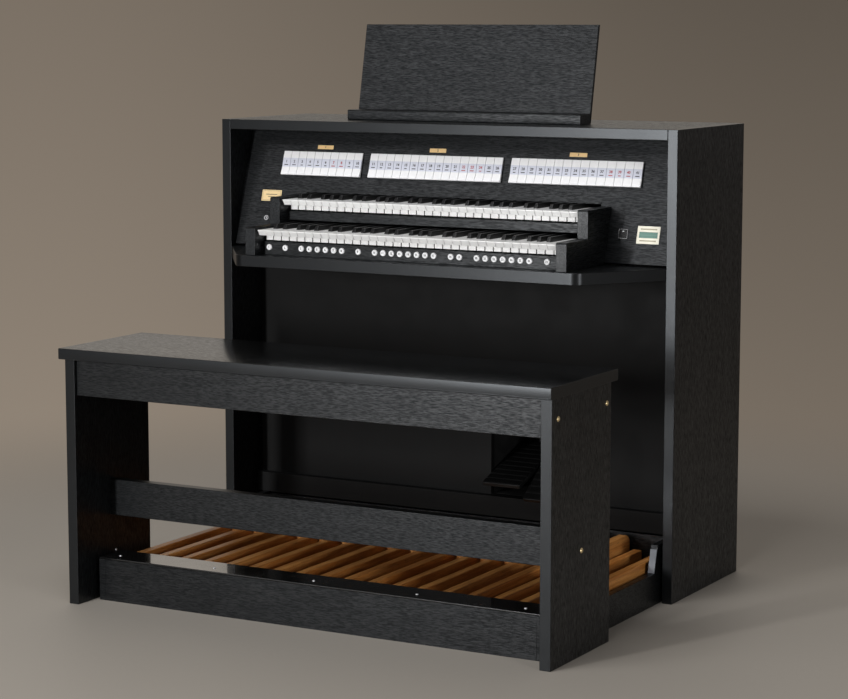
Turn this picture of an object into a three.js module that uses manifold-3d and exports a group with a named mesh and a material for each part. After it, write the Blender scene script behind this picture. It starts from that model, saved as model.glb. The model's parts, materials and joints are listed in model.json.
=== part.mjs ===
// A two-manual church organ console with its pedalboard and its bench.
// Millimetres, +Z up. While the pieces are being placed, X = 0 is the middle of the console, Y = 0 is the
// front edge of its side boards (the player sits towards -Y) and Z = 0 is the floor. At the end the whole
// instrument is moved, so that the origin is under the middle of its box.
import * as THREE from "three";
import { mergeVertices } from "three/addons/utils/BufferGeometryUtils.js";
import Module from "manifold-3d";

const wasm = await Module();
wasm.setup();

// Fits and cuts
const jointGap = 0.3;
const cutOverrun = 4;

// Console housing
const consoleWidth = 1308;
const consoleDepth = 424;
const consoleHeight = 1163;
const sideThickness = 26;
const topThickness = 26;
const backThickness = 12;
const backLift = 30;

// Ventilation slots and mains inlet in the back board
const ventLength = 180;
const ventHeight = 8;
const ventPitch = 24;
const ventDrop = 90;
const ventSpread = 300;
const ventRows = 5;
const inletWidth = 48;
const inletHeight = 27;
const inletDepth = 8;
const inletRise = 90;
const inletInset = 110;

// Table that carries the keyboards
const tableDrop = 336;
const tableThickness = 29.5;
const tableFrontHalf = 483;
const tableReach = 199;
const tableCornerRadius = 35;
const tableShoulder = 2;

// Leaning stop panel
const panelLean = THREE.MathUtils.degToRad(15.77);
const panelFootY = 17.2;
const panelThickness = 19;
const panelFootGap = 5;
const notchClearance = 10.4;

// Stop tabs, in three groups on one rod: a square bar through the stems, with round journals between the groups
const tabRowLeftField = 117;
const tabRowRightField = 98.4;
const tabGap = 0.9;
const tabHeight = 64.5;
const tabFootRise = 195.5;
const tabGroups = [10, 16, 15];
const tabStandoff = 2.6;
const tabThickness = 4.4;
const tabLipDepth = 3.4;
const tabBandShares = [0.3, 0.72];
const tabStemWidth = 12;
const tabStemHeight = 14;
const tabSlotHeight = 24;
const tabSlotMargin = 3;
const tabRodRadius = 3;
const tabRodSetback = 6.5;
const tabBearingWidth = 12;
const tabBearingHeight = 18;

// Lock, headphone socket plate and display on the stop panel
const lockInset = 86.4;
const lockRise = 78.7;
const lockFlangeRadius = 7.5;
const lockFlangeThickness = 1.6;
const lockBarrelRadius = 5.6;
const lockBarrelTail = 8;
const keywayWidth = 1.4;
const keywayHeight = 7;
const keywayDepth = 4;
const socketInset = 131.8;
const socketRise = 79.7;
const socketPlate = 26;
const socketPlateThickness = 1.6;
const socketRadius = 5;
const socketDepth = 12;
const displayInset = 64;
const displayRise = 79;
const displayWidth = 60;
const displayHeight = 44;
const displayThickness = 2.6;
const windowWidth = 49;
const windowHeight = 14;
const windowDepth = 1.6;

// Keyboards: sizes that both manuals share
const naturalCount = 36;
const keyGap = 0.9;
const keyPlate = 14;
const lipSlant = 9;
const headLength = 50;
const skirtSetback = 40;
const skirtDrop = 31.4;
const skirtLength = 60;
const keyReach = 250;
const sharpWidth = 11;
const sharpRise = 12;
const sharpSlant = 6;
const sharpTaper = 1.2;
const leverThickness = 9.7;
const stripWidth = 12;
const stripSeatDrop = 22;
const stripPlay = 1;
const wallRear = 13;
const keyMargin = 3.4;
const frameFloor = 6;
const railThickness = 5;
const railBehindNose = 33;

// Where a sharp lies off the line between its neighbours, as a share of the pitch: C, D, F, G, A
const sharpOffsetShares = { 0: -0.1, 1: 0.1, 3: -0.13, 4: 0, 5: 0.13 };
const naturalsPerOctave = 7;

// Keyboards: where each manual lies
const keyboardSideField = 201.6;
const lowerNoseY = -189;
const lowerKeyRise = 65;
const manualStepY = 119.2;
const manualStepZ = 70;
const upperFrameHeight = 55;
const capPanelClearance = 3;
const capUnderlap = 12;

// Cheeks at the ends of the keyboards
const cheekThickness = 28.7;
const cheekLowerRise = 70.7;
const cheekUpperRise = 140.6;
const cheekLowerFrontY = -196;
const cheekUpperFrontY = -77.5;
const cheekRadius = 5;

// Thumb pistons
const pistonFirstInset = 15.5;
const pistonLastInset = 37.5;
const pistonRise = 19.3;
const pistonRadius = 7.75;
const pistonStandout = 3.6;
const pistonDome = 1;
const pistonStemRadius = 4;
const pistonTravel = 2.5;
const pistonStripThickness = 2;
const pistonPlaces = [0, 2, 4, 5, 6, 7, 8, 9, 11, 13, 14, 15, 16, 17, 18, 19, 20, 22, 23, 25, 26, 27, 28, 29, 30, 31, 33];

// Music desk
const deskHalf = 338.5;
const deskSetback = 120;
const ledgeDepth = 52;
const ledgeHeight = 26.2;
const ledgeRadius = 4;
const deskBoard = 10;
const deskHeight = 248;
const deskLean = 50;

// Knee panel, toe rail and swell recess
const kneeCompartmentDepth = 270;
const kneePanelThickness = 18;
const kneePanelFoot = 145;
const toeRailDepth = 22.6;
const toeRailTop = 198;
const recessRightField = 321;
const recessWidth = 227;
const recessHeight = 202;
const recessDepth = 175;
const recessWall = 12;

// Swell shoes
const shoeWidth = 107;
const shoeLength = 240;
const shoeThickness = 12;
const shoeSideGap = 4;
const shoeAxleSetback = 66.4;
const shoeAxleRise = 46.6;
const shoeAxleRadius = 6;
const shoeAboveAxle = 30;
const shoeLugThickness = 10;
const shoeLugInset = 6;
const shoeLugFoot = 60;
const shoeLugRadius = 13;
const shoeEndRadius = 5;
const treadGrooves = 9;
const treadGrooveWidth = 6;
const treadGrooveDepth = 2.4;
const shoeClosedLean = THREE.MathUtils.degToRad(18);
const shoeOpenLean = THREE.MathUtils.degToRad(34);

// Bench
const benchX = 12;
const benchFrontY = -724.4;
const benchPlay = 36.4;
const benchDepth = 346.7;
const benchHeight = 635.6;
const slabThickness = 27;
const slabRadius = 3;
const legThickness = 27.5;
const legSideInset = 6.3;
const legFrontInset = 17.9;
const legRearInset = 23.3;
const apronHeight = 90;
const apronThickness = 27;
const apronInset = 9.5;
const stretcherHeight = 90;
const stretcherRise = 201.5;
const stretcherSetback = 136.5;

// Pedalboard frame
const pedalboardX = 7;
const pedalboardPlay = 30;
const pedalboardFrontY = -637;
const frameBoard = 18;
const heelPlateTop = 108;
const heelPlateThickness = 4;
const heelPlateDepth = 92;
const pedalSideTop = 79;
const endBlockTop = 147;
const endBlockLength = 147.1;
const endBlockLean = THREE.MathUtils.degToRad(15);
const rearBoardClearance = 4;
const pivotRailDepth = 34;
const pivotRailHeight = 28;
const stopRailDepth = 40;
const stopRailHeight = 52;

// Pedals
const naturalPedals = 18;
const pedalSideGap = 11.8;
const pedalWidth = 24;
const pedalHeight = 34;
const pedalFoot = 68;
const pedalHeelGap = 2;
const pedalToeGap = 7;
const pedalEdge = 4;
const sharpSlatHeight = 16;
const sharpBlockTop = 139;
const sharpBlockLength = 251;
const sharpNoseRadius = 22;
const sharpTailRadius = 18;

// Facets of round pieces
const roundFacetCount = 16;
const pistonFacetCount = 10;
const arcStepCount = 4;

// Places that follow from the sizes above
const innerHalf = consoleWidth / 2 - sideThickness;
const fitHalf = innerHalf - jointGap;
const topUnderside = consoleHeight - topThickness;
const backFrontY = consoleDepth - backThickness;
const tableTop = consoleHeight - tableDrop;
const tableUnderside = tableTop - tableThickness;
const keysHalf = innerHalf - keyboardSideField - keyMargin;
const naturalPitch = (2 * keysHalf) / naturalCount;
const notchHalf = keysHalf + keyMargin + jointGap;
const lowerKeyTop = tableTop + lowerKeyRise;
const cheekLowerTop = tableTop + cheekLowerRise;
const cheekUpperTop = tableTop + cheekUpperRise;
const upperNoseY = lowerNoseY + manualStepY;
const kneePanelY = backFrontY - kneeCompartmentDepth;
const shoeAxleY = kneePanelY + shoeAxleSetback;
const shoeAxleZ = toeRailTop + shoeAxleRise;
const recessRight = innerHalf - recessRightField;
const pedalboardWidth = 2 * innerHalf - pedalboardPlay;
const pedalRoom = pedalboardWidth - 2 * frameBoard - 2 * pedalSideGap;
const pedalPitch = (pedalRoom - pedalWidth) / (naturalPedals - 1);
const pedalAxisY = pedalboardFrontY + frameBoard + pivotRailDepth;
const pedalAxisZ = pedalFoot - jointGap;
const pedalToeY = kneePanelY - toeRailDepth - pedalToeGap;

const axisX = new THREE.Vector3(1, 0, 0);
const axisY = new THREE.Vector3(0, 1, 0);
const axisZ = new THREE.Vector3(0, 0, 1);

// Closed geometry made into a solid that can be joined and cut
function toSolid(geometry) {
  const bare = geometry.clone();
  bare.deleteAttribute("normal");
  bare.deleteAttribute("uv");
  const merged = mergeVertices(bare);
  return new wasm.Manifold(
    new wasm.Mesh({
      numProp: 3,
      vertProperties: new Float32Array(merged.attributes.position.array),
      triVerts: new Uint32Array(merged.index.array),
    }),
  );
}

// A solid made back into a named mesh with its own material
function toMesh(name, solid, finish) {
  const { vertProperties, triVerts } = solid.getMesh();
  const geometry = new THREE.BufferGeometry();
  geometry.setAttribute("position", new THREE.BufferAttribute(new Float32Array(vertProperties), 3));
  geometry.setIndex(new THREE.BufferAttribute(new Uint32Array(triVerts), 1));
  geometry.computeVertexNormals();
  const mesh = new THREE.Mesh(geometry, new THREE.MeshStandardMaterial(finish));
  mesh.name = name;
  return mesh;
}

const join = (solids) => solids.reduce((all, solid) => all.add(solid));

// Rectangular block between two corners
function block([x0, x1], [y0, y1], [z0, z1]) {
  const geometry = new THREE.BoxGeometry(x1 - x0, y1 - y0, z1 - z0);
  geometry.translate((x0 + x1) / 2, (y0 + y1) / 2, (z0 + z1) / 2);
  return toSolid(geometry);
}

// Closed outline from corners; a corner's third value is its rounding radius
function outline(corners) {
  const shape = new THREE.Shape();
  corners.forEach(([a, b, radius = 0], i) => {
    const here = new THREE.Vector2(a, b);
    const before = new THREE.Vector2(...corners.at(i - 1).slice(0, 2)).sub(here);
    const after = new THREE.Vector2(...corners[(i + 1) % corners.length].slice(0, 2)).sub(here);
    const halfAngle = Math.abs(before.angle() - after.angle()) / 2;
    const setback = radius / Math.abs(Math.tan(halfAngle));
    const start = before.setLength(setback).add(here);
    const end = after.setLength(setback).add(here);
    if (i === 0) shape.moveTo(start.x, start.y);
    else shape.lineTo(start.x, start.y);
    if (radius > 0) shape.quadraticCurveTo(here.x, here.y, end.x, end.y);
  });
  return shape;
}

function extrude(corners, depth) {
  return new THREE.ExtrudeGeometry(outline(corners), { depth, bevelEnabled: false, curveSegments: arcStepCount });
}

// A (Y, Z) outline that runs along X
function alongX(corners, [x0, x1]) {
  const geometry = extrude(corners, x1 - x0);
  geometry.applyMatrix4(new THREE.Matrix4().makeBasis(axisY, axisZ, axisX));
  geometry.translate(x0, 0, 0);
  return toSolid(geometry);
}

// An (X, Z) outline that runs along Y
function alongY(corners, [y0, y1]) {
  const geometry = extrude(corners, y1 - y0);
  geometry.rotateX(Math.PI / 2);
  geometry.translate(0, y1, 0);
  return toSolid(geometry);
}

// An (X, Y) outline that runs along Z
function alongZ(corners, [z0, z1]) {
  const geometry = extrude(corners, z1 - z0);
  geometry.translate(0, 0, z0);
  return toSolid(geometry);
}

function rodAlongX(radius, [x0, x1], y, z, sides) {
  const geometry = new THREE.CylinderGeometry(radius, radius, x1 - x0, sides);
  geometry.rotateZ(Math.PI / 2);
  geometry.translate((x0 + x1) / 2, y, z);
  return toSolid(geometry);
}

function rodAlongY(radius, x, [y0, y1], z, sides, frontRadius = radius) {
  const geometry = new THREE.CylinderGeometry(radius, frontRadius, y1 - y0, sides);
  geometry.translate(0, (y0 + y1) / 2, 0);
  geometry.translate(x, 0, z);
  return toSolid(geometry);
}

// Finishes
const blackAsh = () => ({ color: 0x1d1d20, roughness: 0.5, metalness: 0 });
const blackCarcass = () => ({ color: 0x161618, roughness: 0.7, metalness: 0 });
const blackGloss = () => ({ color: 0x0b0b0d, roughness: 0.25, metalness: 0 });
const ivory = () => ({ color: 0xe9e8e4, roughness: 0.35, metalness: 0 });
const whiteButton = () => ({ color: 0xf1f1ef, roughness: 0.4, metalness: 0 });
const oak = () => ({ color: 0xb47a3c, roughness: 0.45, metalness: 0 });
const rubber = () => ({ color: 0x121213, roughness: 0.85, metalness: 0 });
const steel = () => ({ color: 0x8d8f93, roughness: 0.3, metalness: 1 });

// Front face of the stop panel at a height, seen from the side
const panelFaceY = (z) => panelFootY + (z - tableTop) * Math.tan(panelLean);

// Housing: two side boards, top board between them, removable back
function consoleSide(name, x0) {
  return toMesh(name, block([x0, x0 + sideThickness], [0, consoleDepth], [0, consoleHeight]), blackAsh());
}

function consoleTop() {
  return toMesh("console_top", block([-fitHalf, fitHalf], [0, consoleDepth], [topUnderside, consoleHeight]), blackAsh());
}

function consoleBack() {
  const top = topUnderside - jointGap;
  let board = block([-fitHalf, fitHalf], [backFrontY, consoleDepth], [backLift, top]);
  const through = [backFrontY - cutOverrun, consoleDepth + cutOverrun];
  for (let row = 0; row < ventRows; row += 1) {
    const z = top - ventDrop - row * ventPitch;
    for (const x of [-ventSpread, ventSpread]) {
      const slot = block([x - ventLength / 2, x + ventLength / 2], through, [z - ventHeight, z]);
      board = board.subtract(slot);
    }
  }
  const inletX = [fitHalf - inletInset - inletWidth, fitHalf - inletInset];
  const inletY = [consoleDepth - inletDepth, consoleDepth + cutOverrun];
  const inletZ = [backLift + inletRise, backLift + inletRise + inletHeight];
  return toMesh("console_back", board.subtract(block(inletX, inletY, inletZ)), blackCarcass());
}

function keyTable() {
  const rear = backFrontY - jointGap;
  const right = [
    [tableFrontHalf, -tableReach, tableCornerRadius],
    [fitHalf, tableShoulder],
    [fitHalf, rear],
  ];
  const left = right.map(([x, y, radius]) => [-x, y, radius]).reverse();
  return toMesh("key_table", alongZ([...right, ...left], [tableUnderside, tableTop]), blackAsh());
}

// The tabs' grid: all groups, with one step left out between two groups
const tabSteps = tabGroups.reduce((sum, count) => sum + count) + tabGroups.length - 1;
const tabRowStart = tabRowLeftField - innerHalf;
const tabPitch = (2 * innerHalf - tabRowLeftField - tabRowRightField) / tabSteps;

// Where each stop tab starts
function tabStarts() {
  const starts = [];
  let step = 0;
  for (const count of tabGroups) {
    for (let i = 0; i < count; i += 1) starts.push(tabRowStart + (step + i) * tabPitch);
    step += count + 1;
  }
  return starts;
}

// First and last edge of each group of tabs
function tabGroupSpans() {
  const spans = [];
  let start = tabRowStart;
  for (const count of tabGroups) {
    spans.push([start, start + count * tabPitch]);
    start += (count + 1) * tabPitch;
  }
  return spans;
}

// Bearings of the tab rod: one before the first group and one after each group
function tabBearingCentres() {
  const spans = tabGroupSpans();
  return [spans[0][0] - tabPitch / 2, ...spans.map(([, end]) => end + tabPitch / 2)];
}

const tabRodY = panelThickness + tabRodSetback;
const tabRodZ = tabFootRise + tabHeight / 2;

// Slab of the leaning panel between two level planes, in the panel's own frame: X along the organ, Y into
// the panel, Z up its slope
function leaningSlab(x, [y0, y1], [height0, height1]) {
  const onPlane = (height, y) => [y, (height - tableTop + y * Math.sin(panelLean)) / Math.cos(panelLean)];
  return alongX([onPlane(height0, y0), onPlane(height0, y1), onPlane(height1, y1), onPlane(height1, y0)], x);
}

function stopPanel() {
  const through = [-cutOverrun, panelThickness + cutOverrun];
  const heights = [tableTop + panelFootGap, topUnderside - jointGap];
  let panel = leaningSlab([-fitHalf, fitHalf], [0, panelThickness], heights);
  const notchHeights = [tableTop - cutOverrun, cheekUpperTop + notchClearance];
  panel = panel.subtract(leaningSlab([-notchHalf, notchHalf], through, notchHeights));
  for (const [start, end] of tabGroupSpans()) {
    const x = [start + tabSlotMargin, end - tabSlotMargin];
    const z = [tabRodZ - tabSlotHeight / 2, tabRodZ + tabSlotHeight / 2];
    panel = panel.subtract(block(x, through, z));
  }
  for (const x of tabBearingCentres()) {
    const across = [x - tabBearingWidth / 2, x + tabBearingWidth / 2];
    const inward = [panelThickness / 2, tabRodY + tabRodSetback];
    const upward = [tabRodZ - tabBearingHeight / 2, tabRodZ + tabBearingHeight / 2];
    panel = panel.add(block(across, inward, upward));
  }
  const bearings = tabBearingCentres();
  const bore = [bearings[0] - tabPitch, bearings.at(-1) + tabPitch];
  panel = panel.subtract(rodAlongX(tabRodRadius + jointGap, bore, tabRodY, tabRodZ, pistonFacetCount));
  panel = panel.subtract(rodAlongY(lockBarrelRadius + jointGap, lockInset - innerHalf, through, lockRise, roundFacetCount));
  panel = panel.add(socketFitting()).subtract(socketBore());
  return toMesh("stop_panel", panel.add(displayFitting()).subtract(displayWindow()), blackAsh());
}

function centredBlock(x, width, yRange, z, height) {
  return block([x - width / 2, x + width / 2], yRange, [z - height / 2, z + height / 2]);
}

const socketFitting = () =>
  centredBlock(innerHalf - socketInset, socketPlate, [-socketPlateThickness, panelThickness / 2], socketRise, socketPlate);
const socketBore = () =>
  rodAlongY(socketRadius, innerHalf - socketInset, [-socketPlateThickness - cutOverrun, socketDepth], socketRise, pistonFacetCount);
const displayFitting = () =>
  centredBlock(innerHalf - displayInset, displayWidth, [-displayThickness, panelThickness / 2], displayRise, displayHeight);
const displayWindow = () =>
  centredBlock(innerHalf - displayInset, windowWidth, [-displayThickness - cutOverrun, windowDepth - displayThickness], displayRise, windowHeight);

// Stop tabs: rocking tablets whose stems pass through the panel to one rod behind it
function stopTabs() {
  const back = -tabStandoff;
  const face = back - tabThickness;
  const [lowBend, highBend] = tabBandShares.map((share) => tabHeight * share);
  const profile = [
    [back, 0],
    [back, tabHeight],
    [face + tabLipDepth / 2, tabHeight],
    [face, highBend],
    [face, lowBend],
    [face - tabLipDepth, 0],
  ].map(([y, z]) => [y, tabFootRise + z]);
  const tabs = tabStarts().map((start) => {
    const width = tabPitch - tabGap;
    const plate = alongX(profile.toReversed(), [start + tabGap / 2, start + tabGap / 2 + width]);
    const middle = start + tabPitch / 2;
    return plate.add(centredBlock(middle, tabStemWidth, [back - tabThickness / 2, tabRodY], tabRodZ, tabStemHeight));
  });
  const spans = tabGroupSpans();
  const bars = spans.map(([start, end]) => {
    const y = [tabRodY - tabRodRadius, tabRodY + tabRodRadius];
    return block([start + tabGap, end - tabGap], y, [tabRodZ - tabRodRadius, tabRodZ + tabRodRadius]);
  });
  const journals = tabBearingCentres().map((x) => {
    return rodAlongX(tabRodRadius, [x - tabPitch, x + tabPitch], tabRodY, tabRodZ, pistonFacetCount);
  });
  return toMesh("stop_tabs", join([...bars, ...journals, ...tabs]), whiteButton());
}

// Lock barrel that turns in the stop panel
function keySwitch() {
  const flange = rodAlongY(lockFlangeRadius, 0, [-jointGap - lockFlangeThickness, -jointGap], 0, roundFacetCount);
  const barrel = rodAlongY(lockBarrelRadius, 0, [-jointGap - lockFlangeThickness, panelThickness + lockBarrelTail], 0, roundFacetCount);
  const front = -jointGap - lockFlangeThickness;
  const keyway = centredBlock(0, keywayWidth, [front - cutOverrun, front + keywayDepth], 0, keywayHeight);
  const lock = toMesh("key_switch", flange.add(barrel).subtract(keyway), steel());
  lock.position.set(lockInset - innerHalf, 0, lockRise);
  return lock;
}

// Keys, each in its manual's own frame: Y = 0 is the nose, Z = 0 the playing surface of the naturals
const hasSharpAfter = (natural) => natural % naturalsPerOctave in sharpOffsetShares && natural < naturalCount - 1;
const sharpCentre = (natural) =>
  -keysHalf + (natural + 1 + sharpOffsetShares[natural % naturalsPerOctave]) * naturalPitch;
const seatZ = -stripSeatDrop;
const sharpAxisY = keyReach + stripWidth + stripPlay;
const sharpAxisZ = -leverThickness - jointGap;

function naturalKey(natural) {
  const left = -keysHalf + natural * naturalPitch + keyGap / 2;
  const right = left + naturalPitch - keyGap;
  const slot = sharpWidth / 2 + keyGap;
  const tailLeft = natural > 0 && hasSharpAfter(natural - 1) ? sharpCentre(natural - 1) + slot : left;
  const tailRight = hasSharpAfter(natural) ? sharpCentre(natural) - slot : right;
  const profile = [
    [0, 0],
    [lipSlant, -keyPlate],
    [skirtSetback, -keyPlate],
    [skirtSetback, -skirtDrop],
    [skirtSetback + skirtLength, -skirtDrop],
    [skirtSetback + skirtLength, -keyPlate],
    [keyReach + stripWidth, -keyPlate],
    [keyReach + stripWidth, 0],
  ];
  const key = alongX(profile, [left, right]);
  const behind = [headLength - keyGap, keyReach + stripWidth + cutOverrun];
  const height = [-skirtDrop - cutOverrun, cutOverrun];
  const cuts = [];
  if (tailLeft > left) cuts.push(block([left - cutOverrun, tailLeft], behind, height));
  if (tailRight < right) cuts.push(block([tailRight, right + cutOverrun], behind, height));
  return cuts.reduce((rest, cut) => rest.subtract(cut), key);
}

function naturals(name) {
  const keys = [];
  for (let natural = 0; natural < naturalCount; natural += 1) keys.push(naturalKey(natural));
  const strip = block([-keysHalf, keysHalf], [keyReach, keyReach + stripWidth], [seatZ + jointGap, sharpAxisZ - stripPlay]);
  return toMesh(name, join([strip, ...keys]), ivory());
}

function sharpKey(natural, capEnd) {
  const x = sharpCentre(natural);
  const across = [x - sharpWidth / 2, x + sharpWidth / 2];
  const rear = sharpAxisY + stripWidth;
  const profile = [
    [headLength, -leverThickness],
    [rear, -leverThickness],
    [rear, 0],
    [capEnd, 0],
    [capEnd, sharpRise],
    [headLength + sharpSlant, sharpRise],
    [headLength, sharpRise - sharpSlant],
  ];
  const taper = [
    [across[0], -leverThickness - cutOverrun],
    [across[1], -leverThickness - cutOverrun],
    [across[1], sharpRise / 2],
    [across[1] - sharpTaper, sharpRise],
    [across[0] + sharpTaper, sharpRise],
    [across[0], sharpRise / 2],
  ];
  return alongX(profile, across).intersect(alongY(taper, [headLength, rear]));
}

function sharps(name, capEnd) {
  const keys = [];
  for (let natural = 0; natural < naturalCount; natural += 1) {
    if (hasSharpAfter(natural)) keys.push(sharpKey(natural, capEnd));
  }
  const strip = block([-keysHalf, keysHalf], [sharpAxisY, sharpAxisY + stripWidth], [-leverThickness, 0]);
  return toMesh(name, join([strip, ...keys]), blackGloss());
}

// Key frame: front rail, floor and the stepped wall on whose edges the keys tilt
function keyFrameSolid(base) {
  const half = notchHalf - jointGap;
  const railBack = railBehindNose + railThickness;
  const wallEnd = sharpAxisY + wallRear;
  const profile = [
    [railBehindNose, base],
    [wallEnd, base],
    [wallEnd, sharpAxisZ],
    [sharpAxisY, sharpAxisZ],
    [sharpAxisY, seatZ],
    [keyReach, seatZ],
    [keyReach, base + frameFloor],
    [railBack, base + frameFloor],
    [railBack, -skirtDrop],
    [railBehindNose, -skirtDrop],
  ];
  return alongX(profile, [-half, half]);
}

const pistonPitch = (2 * keysHalf - pistonFirstInset - pistonLastInset) / pistonPlaces.at(-1);
const pistonX = (place) => pistonFirstInset - keysHalf + place * pistonPitch;
const pistonZ = tableTop + pistonRise - lowerKeyTop;

function lowerKeyFrame() {
  let frame = keyFrameSolid(tableTop + jointGap - lowerKeyTop);
  const through = [railBehindNose - cutOverrun, railBehindNose + railThickness + cutOverrun];
  for (const place of pistonPlaces) {
    frame = frame.subtract(rodAlongY(pistonRadius + jointGap, pistonX(place), through, pistonZ, pistonFacetCount));
  }
  return toMesh("lower_key_frame", frame, blackAsh());
}

const upperKeyFrame = () => toMesh("upper_key_frame", keyFrameSolid(-upperFrameHeight), blackAsh());

// Thumb pistons: round heads in the rail's holes, on one contact strip behind the rail
function thumbPistons() {
  const front = railBehindNose - pistonStandout;
  const headBack = railBehindNose + railThickness - pistonTravel;
  const stripFront = railBehindNose + railThickness + jointGap;
  const stripBack = stripFront + pistonStripThickness;
  const heads = pistonPlaces.map((place) => {
    const x = pistonX(place);
    const dome = rodAlongY(pistonRadius, x, [front, front + pistonDome], pistonZ, pistonFacetCount, pistonRadius - pistonDome);
    const head = rodAlongY(pistonRadius, x, [front + pistonDome, headBack], pistonZ, pistonFacetCount);
    const stem = rodAlongY(pistonStemRadius, x, [headBack - pistonDome, stripBack], pistonZ, pistonFacetCount / 2);
    return join([head, dome, stem]);
  });
  const first = pistonX(pistonPlaces[0]) - pistonRadius;
  const last = pistonX(pistonPlaces.at(-1)) + pistonRadius;
  const strip = block([first, last], [stripFront, stripBack], [pistonZ - pistonStemRadius, pistonZ + pistonStemRadius]);
  return toMesh("thumb_pistons", join([strip, ...heads]), whiteButton());
}

// Cheek: stepped end block of both manuals, its back cut to the stop panel
function keyCheek(name, x0) {
  const faceGap = jointGap / Math.cos(panelLean);
  const foot = tableTop + jointGap;
  const profile = [
    [cheekLowerFrontY, foot],
    [panelFaceY(foot) - faceGap, foot],
    [panelFaceY(cheekUpperTop) - faceGap, cheekUpperTop],
    [cheekUpperFrontY, cheekUpperTop, cheekRadius],
    [cheekUpperFrontY, cheekLowerTop],
    [cheekLowerFrontY, cheekLowerTop, cheekRadius],
  ];
  return toMesh(name, alongX(profile, [x0, x0 + cheekThickness]), blackAsh());
}

function keyboards() {
  const group = new THREE.Group();
  const lower = new THREE.Group();
  lower.position.set(0, lowerNoseY, lowerKeyTop);
  const lowerCapEnd = manualStepY + railBehindNose + capUnderlap;
  lower.add(lowerKeyFrame(), naturals("lower_naturals"), sharps("lower_sharps", lowerCapEnd), thumbPistons());
  const upper = new THREE.Group();
  const upperTop = lowerKeyTop + manualStepZ;
  upper.position.set(0, upperNoseY, upperTop);
  const upperCapEnd = panelFaceY(upperTop) - capPanelClearance - upperNoseY;
  upper.add(upperKeyFrame(), naturals("upper_naturals"), sharps("upper_sharps", upperCapEnd));
  group.add(lower, upper);
  group.add(keyCheek("key_cheek_left", -notchHalf - cheekThickness), keyCheek("key_cheek_right", notchHalf));
  return group;
}

// Music desk: ledge and leaning board in one side profile
function musicDesk() {
  const slope = deskLean / deskHeight;
  const profile = [
    [0, 0, ledgeRadius],
    [ledgeDepth + deskBoard, 0],
    [ledgeDepth + deskBoard + deskLean, deskHeight],
    [ledgeDepth + deskLean, deskHeight],
    [ledgeDepth + ledgeHeight * slope, ledgeHeight],
    [0, ledgeHeight, ledgeRadius],
  ];
  const desk = toMesh("music_desk", alongX(profile, [-deskHalf, deskHalf]), blackAsh());
  desk.position.set(0, deskSetback, consoleHeight + jointGap);
  return desk;
}

const recessSpan = [recessRight - recessWidth, recessRight];
const recessRise = [toeRailTop, toeRailTop + recessHeight];

function kneePanel() {
  const y = [kneePanelY, kneePanelY + kneePanelThickness];
  const panel = block([-fitHalf, fitHalf], y, [kneePanelFoot, tableUnderside - jointGap]);
  const toeRail = block([-fitHalf, fitHalf], [kneePanelY - toeRailDepth, y[1]], [kneePanelFoot, toeRailTop]);
  const mouth = block(recessSpan, [kneePanelY - toeRailDepth - cutOverrun, y[1] + cutOverrun], recessRise);
  return toMesh("knee_panel", panel.add(toeRail).subtract(mouth), blackAsh());
}

// Box behind the knee panel, open in front, with the axle of both shoes across it
function swellBox() {
  const front = kneePanelY + kneePanelThickness + jointGap;
  const rear = kneePanelY + kneePanelThickness + recessDepth;
  const shell = block(
    [recessSpan[0] - recessWall, recessSpan[1] + recessWall],
    [front, rear + recessWall],
    [recessRise[0] - recessWall, recessRise[1] + recessWall],
  );
  const hollow = block(recessSpan, [front - cutOverrun, rear], recessRise);
  const wallMiddles = [recessSpan[0] - recessWall / 2, recessSpan[1] + recessWall / 2];
  const axle = rodAlongX(shoeAxleRadius, wallMiddles, shoeAxleY, shoeAxleZ, roundFacetCount);
  return toMesh("swell_box", shell.subtract(hollow).add(axle), blackCarcass());
}

// Swell shoe in its own frame: the axle is the X axis, the heel points to -Y
function swellShoe(name, x0, lean) {
  const half = shoeLength / 2;
  const under = shoeAboveAxle - shoeThickness / 2;
  const over = shoeAboveAxle + shoeThickness / 2;
  const plateProfile = [
    [-half, under, shoeEndRadius],
    [half, under, shoeEndRadius],
    [half, over, shoeEndRadius],
    [-half, over, shoeEndRadius],
  ];
  let shoe = alongX(plateProfile, [0, shoeWidth]);
  const groovePitch = shoeLength / (treadGrooves + 1);
  for (let groove = 1; groove <= treadGrooves; groove += 1) {
    const middle = groove * groovePitch - half;
    const y = [middle - treadGrooveWidth / 2, middle + treadGrooveWidth / 2];
    shoe = shoe.subtract(block([-cutOverrun, shoeWidth + cutOverrun], y, [over - treadGrooveDepth, over + cutOverrun]));
  }
  const lugStarts = [shoeLugInset, shoeWidth - shoeLugInset - shoeLugThickness];
  for (const start of lugStarts) {
    const x = [start, start + shoeLugThickness];
    const web = [
      [-shoeLugFoot / 2, shoeAboveAxle],
      [-shoeLugRadius, 0],
      [shoeLugRadius, 0],
      [shoeLugFoot / 2, shoeAboveAxle],
    ];
    shoe = shoe.add(alongX(web, x)).add(rodAlongX(shoeLugRadius, x, 0, 0, roundFacetCount));
  }
  const bore = [-cutOverrun, shoeWidth + cutOverrun];
  shoe = shoe.subtract(rodAlongX(shoeAxleRadius + jointGap, bore, 0, 0, roundFacetCount));
  const mesh = toMesh(name, shoe, rubber());
  mesh.position.set(x0, shoeAxleY, shoeAxleZ);
  mesh.rotation.x = lean;
  return mesh;
}

function swell() {
  const group = new THREE.Group();
  const leftX = recessSpan[0] + shoeSideGap;
  const rightX = recessSpan[1] - shoeSideGap - shoeWidth;
  group.add(kneePanel(), swellBox());
  group.add(swellShoe("swell_shoe_left", leftX, shoeClosedLean));
  group.add(swellShoe("swell_shoe_right", rightX, shoeOpenLean));
  return group;
}

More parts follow.
